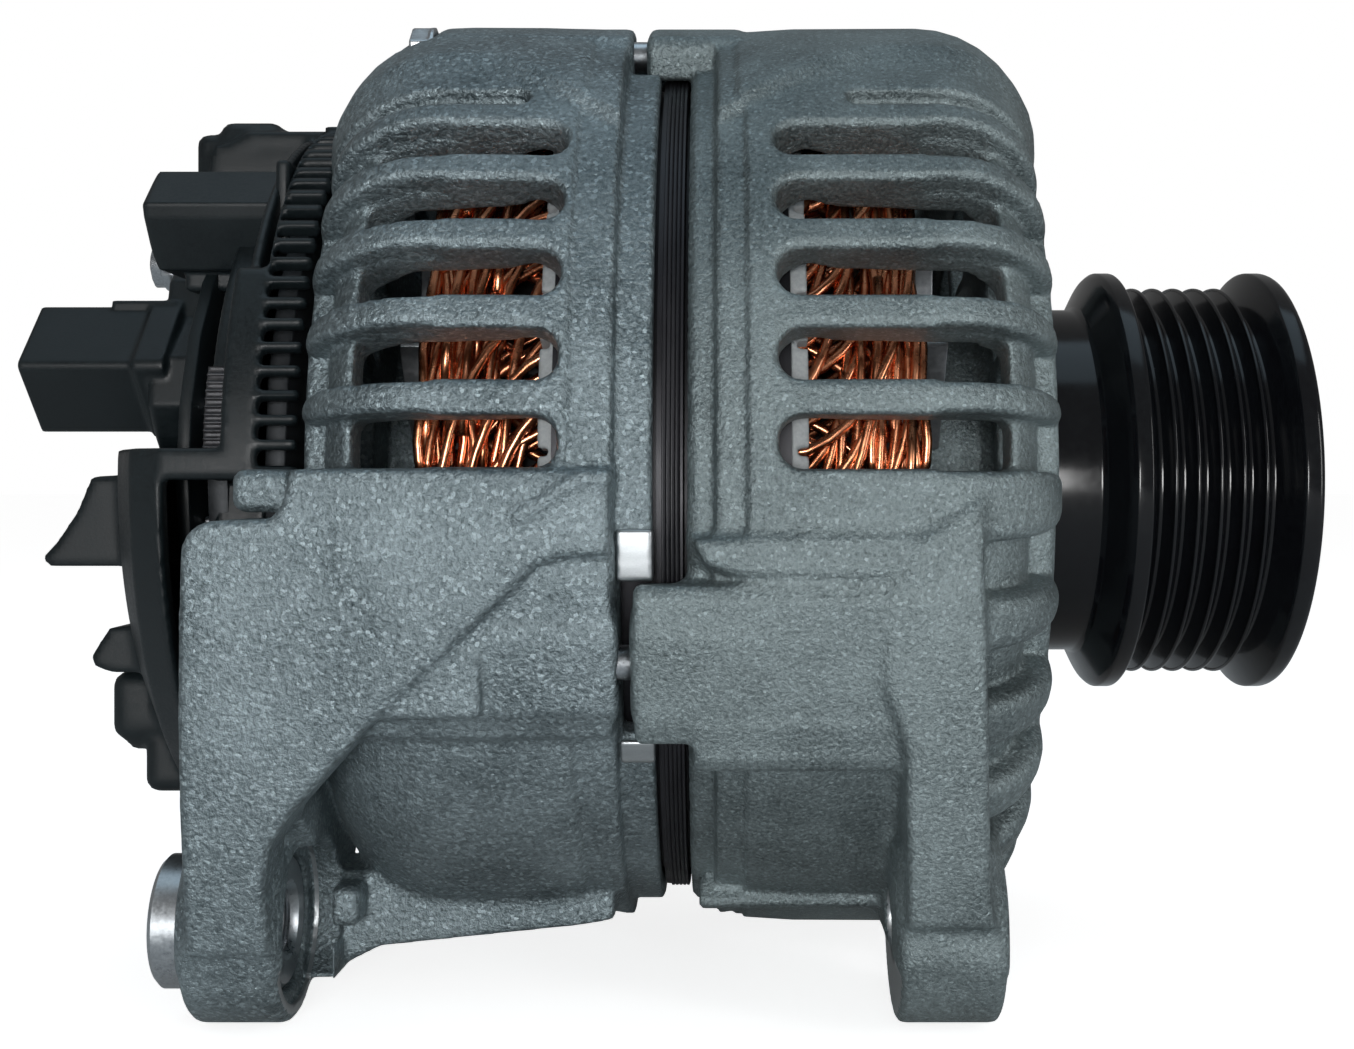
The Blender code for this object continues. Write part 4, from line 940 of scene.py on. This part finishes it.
def rear_cover():
    """The shell over the rectifier, stepped low down, with two curved fins and a toothed front edge."""
    front, back = COVER_HIGH.x, -186.5
    field = Field((COVER_LOW.x - 3, -63, -63), (front + 1.5, 63, 63), 0.7)
    outer = field.turned(
        [
            (back, 0), (back, 29), (back + 1.2, 32.5), (-181, 47.5), (-179.6, 50), (-176, 57),
            (-171, 60), (front, 60)
        ]
        + [(front, 0)]
    )
    inner = field.turned(
        [
            (back + 2.5, 0), (back + 2.5, 28), (-178.5, 46), (-174, 54.5), (-169, 57.5),
            (front + 5, 57.5), (front + 5, 0)
        ]
    )
    body = meet(outer, -inner, 0.6)
    for k in range(12):
        rib = abs(field.around(-75.0 - 19.0 * k)) - 0.9
        body = join(body, np.maximum(np.maximum(rib, outer - 1.0), back + 9 - field.x), 0.5)
    upper_fin = [
        (-197.0, -12.2), (-195.5, -13.4), (-182.0, -13.4), (-182.0, 0.9), (-189.2, 0.5), (-191.5, -5.0)
    ]
    upper_fin.append((-194.5, -9.5))
    lower_fin = [
        (-189.4, -27.6), (-188.6, -29.0), (-186.0, -29.9), (-181.0, -29.9), (-181.0, -22.4),
        (-186.5, -23.0)
    ]
    lower_fin.append((-188.2, -25.6))
    for outline in (upper_fin, lower_fin):
        body = join(body, field.plate(outline, -36.0, 24.0, 0, 0.6), 0.8)
    for low, high, soft, fillet in (
        ((-188.4, -30.0, -41.2), (-176.0, -8.0, -30.6), 2.2, 0.6),
        ((-183.2, -30.0, -49.6), (-172.0, -8.0, -40.0), 2.2, 0.6),
        ((-176.5, -12.0, 42.0), (-166.0, 12.0, 60.6), 2.0, 1.0),
        ((-180.5, -12.0, 42.0), (-166.0, 8.0, 58.6), 2.0, 1.0),
    ):
        body = join(body, field.box(low, high, soft), fillet)
    body = cut(body, field.box((-192, -70, 4.5), (-162.5, 10, 41.5), 0.5), 0.6)
    body = cut(body, field.box((-192, -70, 31.0), (-157.8, -13.5, 70), 0.5), 0.6)
    collar = meet(abs(field.radius - 47.5) - 2.0, abs(field.x + 163.5) - 3.9, 0.6)
    body = join(body, np.maximum(collar, abs(field.around(35.0)) - 50.0), 0.5)
    floor_ring = meet(abs(field.radius - 52.0) - 6.5, abs(field.x + 160.2) - 0.8, 0.4)
    body = join(body, np.maximum(floor_ring, abs(field.around(35.0)) - 60.0), 0.5)
    for k in range(26):
        teeth = abs(field.around(3.0 + 3.5 * k)) - 1.1
        gap = meet(teeth, abs(field.x - front + 2.0) - 4.0, 0.3)
        body = cut(body, np.maximum(gap, 50.0 - field.radius), 0.2)
    body = cut(body, field.box((-170.5, -75, -75), (-140, -46, 0), 0.5), 0.6)
    body = cut(body, field.along(BUSH.y, BUSH.z, LUG_RADIUS + 1.5, -171.5, -140), 0.6)
    for k in range(5):
        z = -12.0 - 7.0 * k
        body = cut(body, field.box((-192, 2, z - 1.5), (-180, 30, z + 1.5), 1.2), 0.5)
    for angle in COVER_POSTS:
        spot = at(0, 45.0, angle)
        body = join(body, field.along(spot.y, spot.z, 5.6, back + 0.1, -176, 0.6), 1.0)
        body = cut(body, field.along(spot.y, spot.z, 2.8, -195, -172), 0.3)
    stud = middle("b_plus_nut")
    body = join(body, field.along(stud.y, stud.z, 9.5, back - 2.0, -176, 0.6), 0.8)
    body = cut(body, field.along(stud.y, stud.z, 8.0, -195, back - 0.4), 0.4)
    body = cut(body, field.along(stud.y, stud.z, 6.0, -195, -172), 0.3)
    moulded("rear_cover_moulding", field, body, "rear_cover")
    strip = Field((-169.5, -52, 0), (-163, -44, 19), 0.3)
    ribs = abs((strip.z % 1.2) - 0.6) - 0.38
    edge = meet(abs(strip.radius - 49.3) - 0.9, abs(strip.x + 166.2) - 1.7, 0.2)
    edge = np.maximum(edge, abs(strip.z - 9.3) - 7.5)
    edge = cut(edge, np.maximum(ribs, 49.6 - strip.radius), 0.2)
    place(cast("sink_edge_strip", strip, edge), POLE, "housing", "machined_aluminium")


def regulator():
    """The regulator's lens-shaped flange and the square plug socket that stands on one corner."""
    low, high = REGULATOR_LOW, REGULATOR_HIGH
    y, z, side, wall = -14.0, 18.5, 15.5, 1.6
    back, front = -184.5, -175.5
    field = Field((low.x - 1, -27.0, -3.0), (front + 3, high.y + 1.5, high.z + 3), 0.4)
    flange = [(9.0, 37.0), (-9.0, 37.0), (-13.5, 33.5), (-15.5, 27.0), (-23.6, 20.0), (-24.6, 12.0)]
    flange += [(-21.0, 7.0), (-16.5, 2.5), (-15.0, -2.0), (9.0, -2.0)]
    body = field.bar(flange, back, front, 1.1)
    inset = [
        (9.0, 33.5), (-8.0, 33.5), (-12.5, 25.5), (-19.5, 18.5), (-20.5, 12.5), (-13.0, 2.0), (9.0, 2.0)
    ]
    body = join(body, field.bar(inset, front - 1.0, front + 2.4, 0.5), 0.4)
    body = join(body, rolled_sleeve(field, y, z, side, low.x, back + 3, 1.2), 0.9)
    body = join(body, rolled_sleeve(field, y, z, side + 1.4, back - 2.2, back + 3, 1.6), 0.7)
    ridge = field.box(
        (low.x + 12.0, y - 1.4, z + side * 0.62), (back + 2, y + 1.4, z + side * 0.7 + 0.6), 0.4
    )
    body = join(body, ridge, 0.4)
    for notch_z in (15.0, 22.5):
        nick = field.box((low.x + 13.0, -19.5, notch_z - 0.5), (back - 1.0, -18.2, notch_z + 0.5), 0.2)
        body = join(body, nick, 0.3)
    body = cut(body, rolled_sleeve(field, y, z, side - 2 * wall, low.x - 2, -189.5, 0.6), 0.4)
    for k in (-1, 1):
        body = join(
            body,
            field.box((-195.0, y + 2.0 * k - 0.5, z - 1.2), (-188, y + 2.0 * k + 0.5, z + 1.2), 0.2),
            0.3
        )
    for number in (1, 2):
        spot = middle(f"regulator_screw_{number}")
        body = join(body, field.along(spot.y, spot.z, 4.2, -188.1, back + 2, 0.4), 0.8)
        body = cut(body, field.along(spot.y, spot.z, 1.8, -192, -178), 0.3)
    moulded("regulator_moulding", field, body, "regulator")


def cover_screw(number):
    """A recessed screw that holds the rear cover, with a cross cut in its head."""
    spot = middle(f"cover_screw_{number}")
    field = Field((-185.5, spot.y - 3.2, spot.z - 3.2), (-176, spot.y + 3.2, spot.z + 3.2), 0.25)
    body = join(
        field.along(spot.y, spot.z, 2.6, -184.8, -182.4, 0.5),
        field.along(spot.y, spot.z, 1.7, -183, -176.5, 0.3), 0.3
    )
    for y, z in ((1.6, 0.35), (0.35, 1.6)):
        cross = field.box((-186, spot.y - y, spot.z - z), (-183.6, spot.y + y, spot.z + z), 0.1)
        body = cut(body, cross, 0.15)
    node = f"cover_screw_{number}"
    place(cast(f"{node}_recessed", field, body), ZINC, "housing", "zinc_steel", node)


def terminal_block():
    """The small upper connector: two sloping faces that meet in a ridge, and a socket open to the back."""
    low, high = BLOCK_LOW, BLOCK_HIGH
    field = Field((low.x - 1, -41.0, 28.0), (high.x + 3, -10.0, 54.0), 0.35)
    section = [(-30.5, 48.7), (-37.4, 42.6), (-36.6, 40.4), (-31.0, 33.0), (-15.0, 33.0), (-15.0, 48.7)]
    body = field.bar(section, low.x, high.x, 0.9)
    slant = (field.x - low.x) * 0.95 + (abs(field.z - 41.5) - 6.5) * -0.32
    body = meet(body, -slant, 0.6)
    body = join(body, field.box((low.x + 4.0, -29.0, 30.0), (high.x - 3.0, -16.0, 35.0), 1.0), 0.8)
    body = cut(
        body,
        field.bar(
            [(-30.0, 46.9), (-34.6, 42.2), (-30.4, 35.0), (-17.0, 35.0), (-17.0, 46.9)], low.x - 2,
            -171.0, 0.4
        ),
        0.4
    )
    body = join(body, field.box((-177.0, -27.0, 40.0), (-170.0, -25.8, 42.4), 0.3), 0.3)
    rim = field.box((high.x - 2.2, -37.9, 36.5), (high.x, -15.0, 49.3), 0.8)
    body = join(body, rim, 0.4)
    moulded("terminal_block_moulding", field, body, "terminal_block")


# ---------------------------------------------------------------- CAD pieces that keep their shape

KEPT = (
    (MACHINED, "bearing_retainer_plate bearing_spacer rear_bearing_cup"),
    (BRIGHT_STEEL, "front_bearing_balls front_bearing_inner_ring front_bearing_outer_ring rotor_shaft"),
    (BRIGHT_STEEL, "rear_bearing_balls rear_bearing_inner_ring rear_bearing_outer_ring"),
    (ZINC, "retainer_screw_1 retainer_screw_2 retainer_screw_3"),
    (
        ZINC,
        "retainer_screw_4 regulator_screw_1 regulator_screw_2 brush_spring_negative brush_spring_positive"
    ),
    (ZINC, "b_plus_stud diode_1 diode_2 diode_3 diode_4 diode_5 diode_6"),
    (FAN_STEEL, "front_fan rear_fan"),
    (POLE, "front_claw_pole rear_claw_pole"),
    (COPPER, "field_coil slip_ring_inner slip_ring_outer"),
    (BOBBIN, "coil_bobbin"),
    (PLASTIC, "brush_holder connection_plate slip_ring_hub"),
    (GRAPHITE, "brush_negative brush_positive"),
    (DARK_SINK, "negative_heat_sink positive_heat_sink"),
)


def keep_cad_pieces():
    """Softens the edges of the remaining CAD pieces and gives them their finishes."""
    for material, names in KEPT:
        for name in names.split():
            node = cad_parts[name]
            node.data.materials.clear()
            node.data.materials.append(material)
            node.data.polygons.foreach_set("use_smooth", [True] * len(node.data.polygons))
            weld = node.modifiers.new("weld", "WELD")
            weld.merge_threshold = 2e-5
            bevel = node.modifiers.new("bevel", "BEVEL")
            bevel.width = 2.5e-4
            bevel.segments = 2
            bevel.limit_method = "ANGLE"
            bevel.angle_limit = radians(35)
            bevel.harden_normals = True


# ---------------------------------------------------------------- floor, light and camera


def area_light(name, position, aim, size, power, colour=(1, 1, 1)):
    data = bpy.data.lights.new(name, "AREA")
    data.shape, data.size, data.size_y = "RECTANGLE", *size
    data.energy, data.color = power, colour
    made = bpy.data.objects.new(name, data)
    made.location = position
    made.rotation_euler = (Vector(aim) - Vector(position)).to_track_quat("-Z", "Y").to_euler()
    bpy.context.scene.collection.objects.link(made)


def studio():
    """A large pale floor, soft lights in front, to one side and above, and the camera."""
    scene = bpy.context.scene
    low = REAR_LOW.z * 0.001 - 0.0005
    bpy.ops.mesh.primitive_plane_add(size=12.0, location=(0, 3.0, low))
    floor = bpy.context.object
    floor.name = "studio_floor"
    pale = bpy.data.materials.new("PaleFloor")
    pale.use_nodes = True
    pale.node_tree.nodes["Principled BSDF"].inputs["Base Color"].default_value = (0.93, 0.93, 0.93, 1)
    pale.node_tree.nodes["Principled BSDF"].inputs["Roughness"].default_value = 0.9
    lift = pale.node_tree.nodes.new("ShaderNodeLightPath")
    pale.node_tree.links.new(
        lift.outputs["Is Camera Ray"],
        pale.node_tree.nodes["Principled BSDF"].inputs["Emission Strength"]
    )
    pale.node_tree.nodes["Principled BSDF"].inputs["Emission Color"].default_value = (0.78, 0.78, 0.78, 1)
    floor.data.materials.append(pale)
    world = bpy.data.worlds.new("Studio")
    scene.world = world
    world.use_nodes = True
    nodes, links = world.node_tree.nodes, world.node_tree.links
    sky = nodes["Background"]
    sky.inputs["Color"].default_value = (1, 1, 1, 1)
    path = nodes.new("ShaderNodeLightPath")
    level = nodes.new("ShaderNodeMapRange")
    level.inputs["To Min"].default_value, level.inputs["To Max"].default_value = 0.22, 1.0
    links.new(path.outputs["Is Camera Ray"], level.inputs["Value"])
    links.new(level.outputs["Result"], sky.inputs["Strength"])
    target = (-0.095, -0.03, 0.0)
    area_light("key_light", (-0.16, -0.85, -0.15), target, (0.3, 0.5), 13.0)
    area_light("side_light", (0.5, -0.5, 0.1), target, (0.1, 0.5), 1.5)
    area_light("top_light", (-0.1, -0.1, 0.9), target, (0.9, 0.6), 1.8, (0.62, 0.84, 1.0))
    camera = bpy.data.cameras.new("camera")
    camera.sensor_width, camera.lens = 36.0, 45.2
    camera.shift_x, camera.shift_y = -0.031, -0.033
    camera.clip_start = 0.01
    seen_from = bpy.data.objects.new("camera", camera)
    seen_from.location = (-0.092, -0.299, 0.0)
    seen_from.rotation_euler = Euler((pi / 2, 0, 0))
    scene.collection.objects.link(seen_from)
    scene.camera = seen_from
    scene.view_settings.view_transform = "Standard"


# ---------------------------------------------------------------- the whole alternator

drive_end_bracket()
slip_ring_end_bracket()
joint_faces()
laminations()
winding()
slot_liners()
pulley()
nut("pulley_nut_plated", "pulley_nut", 22.0, 15.0, 8.2, "rotor", ZINC, "zinc_steel")
nut("b_plus_nut_plated", "b_plus_nut", 8.0, 4.6, 2.7, "housing", ZINC, "zinc_steel")
for number, spot in enumerate(BOLTS, 1):
    bolt(number, spot)
threaded_bush()
rear_cover()
for number in (1, 2, 3):
    cover_screw(number)
regulator()
terminal_block()
keep_cad_pieces()
studio()
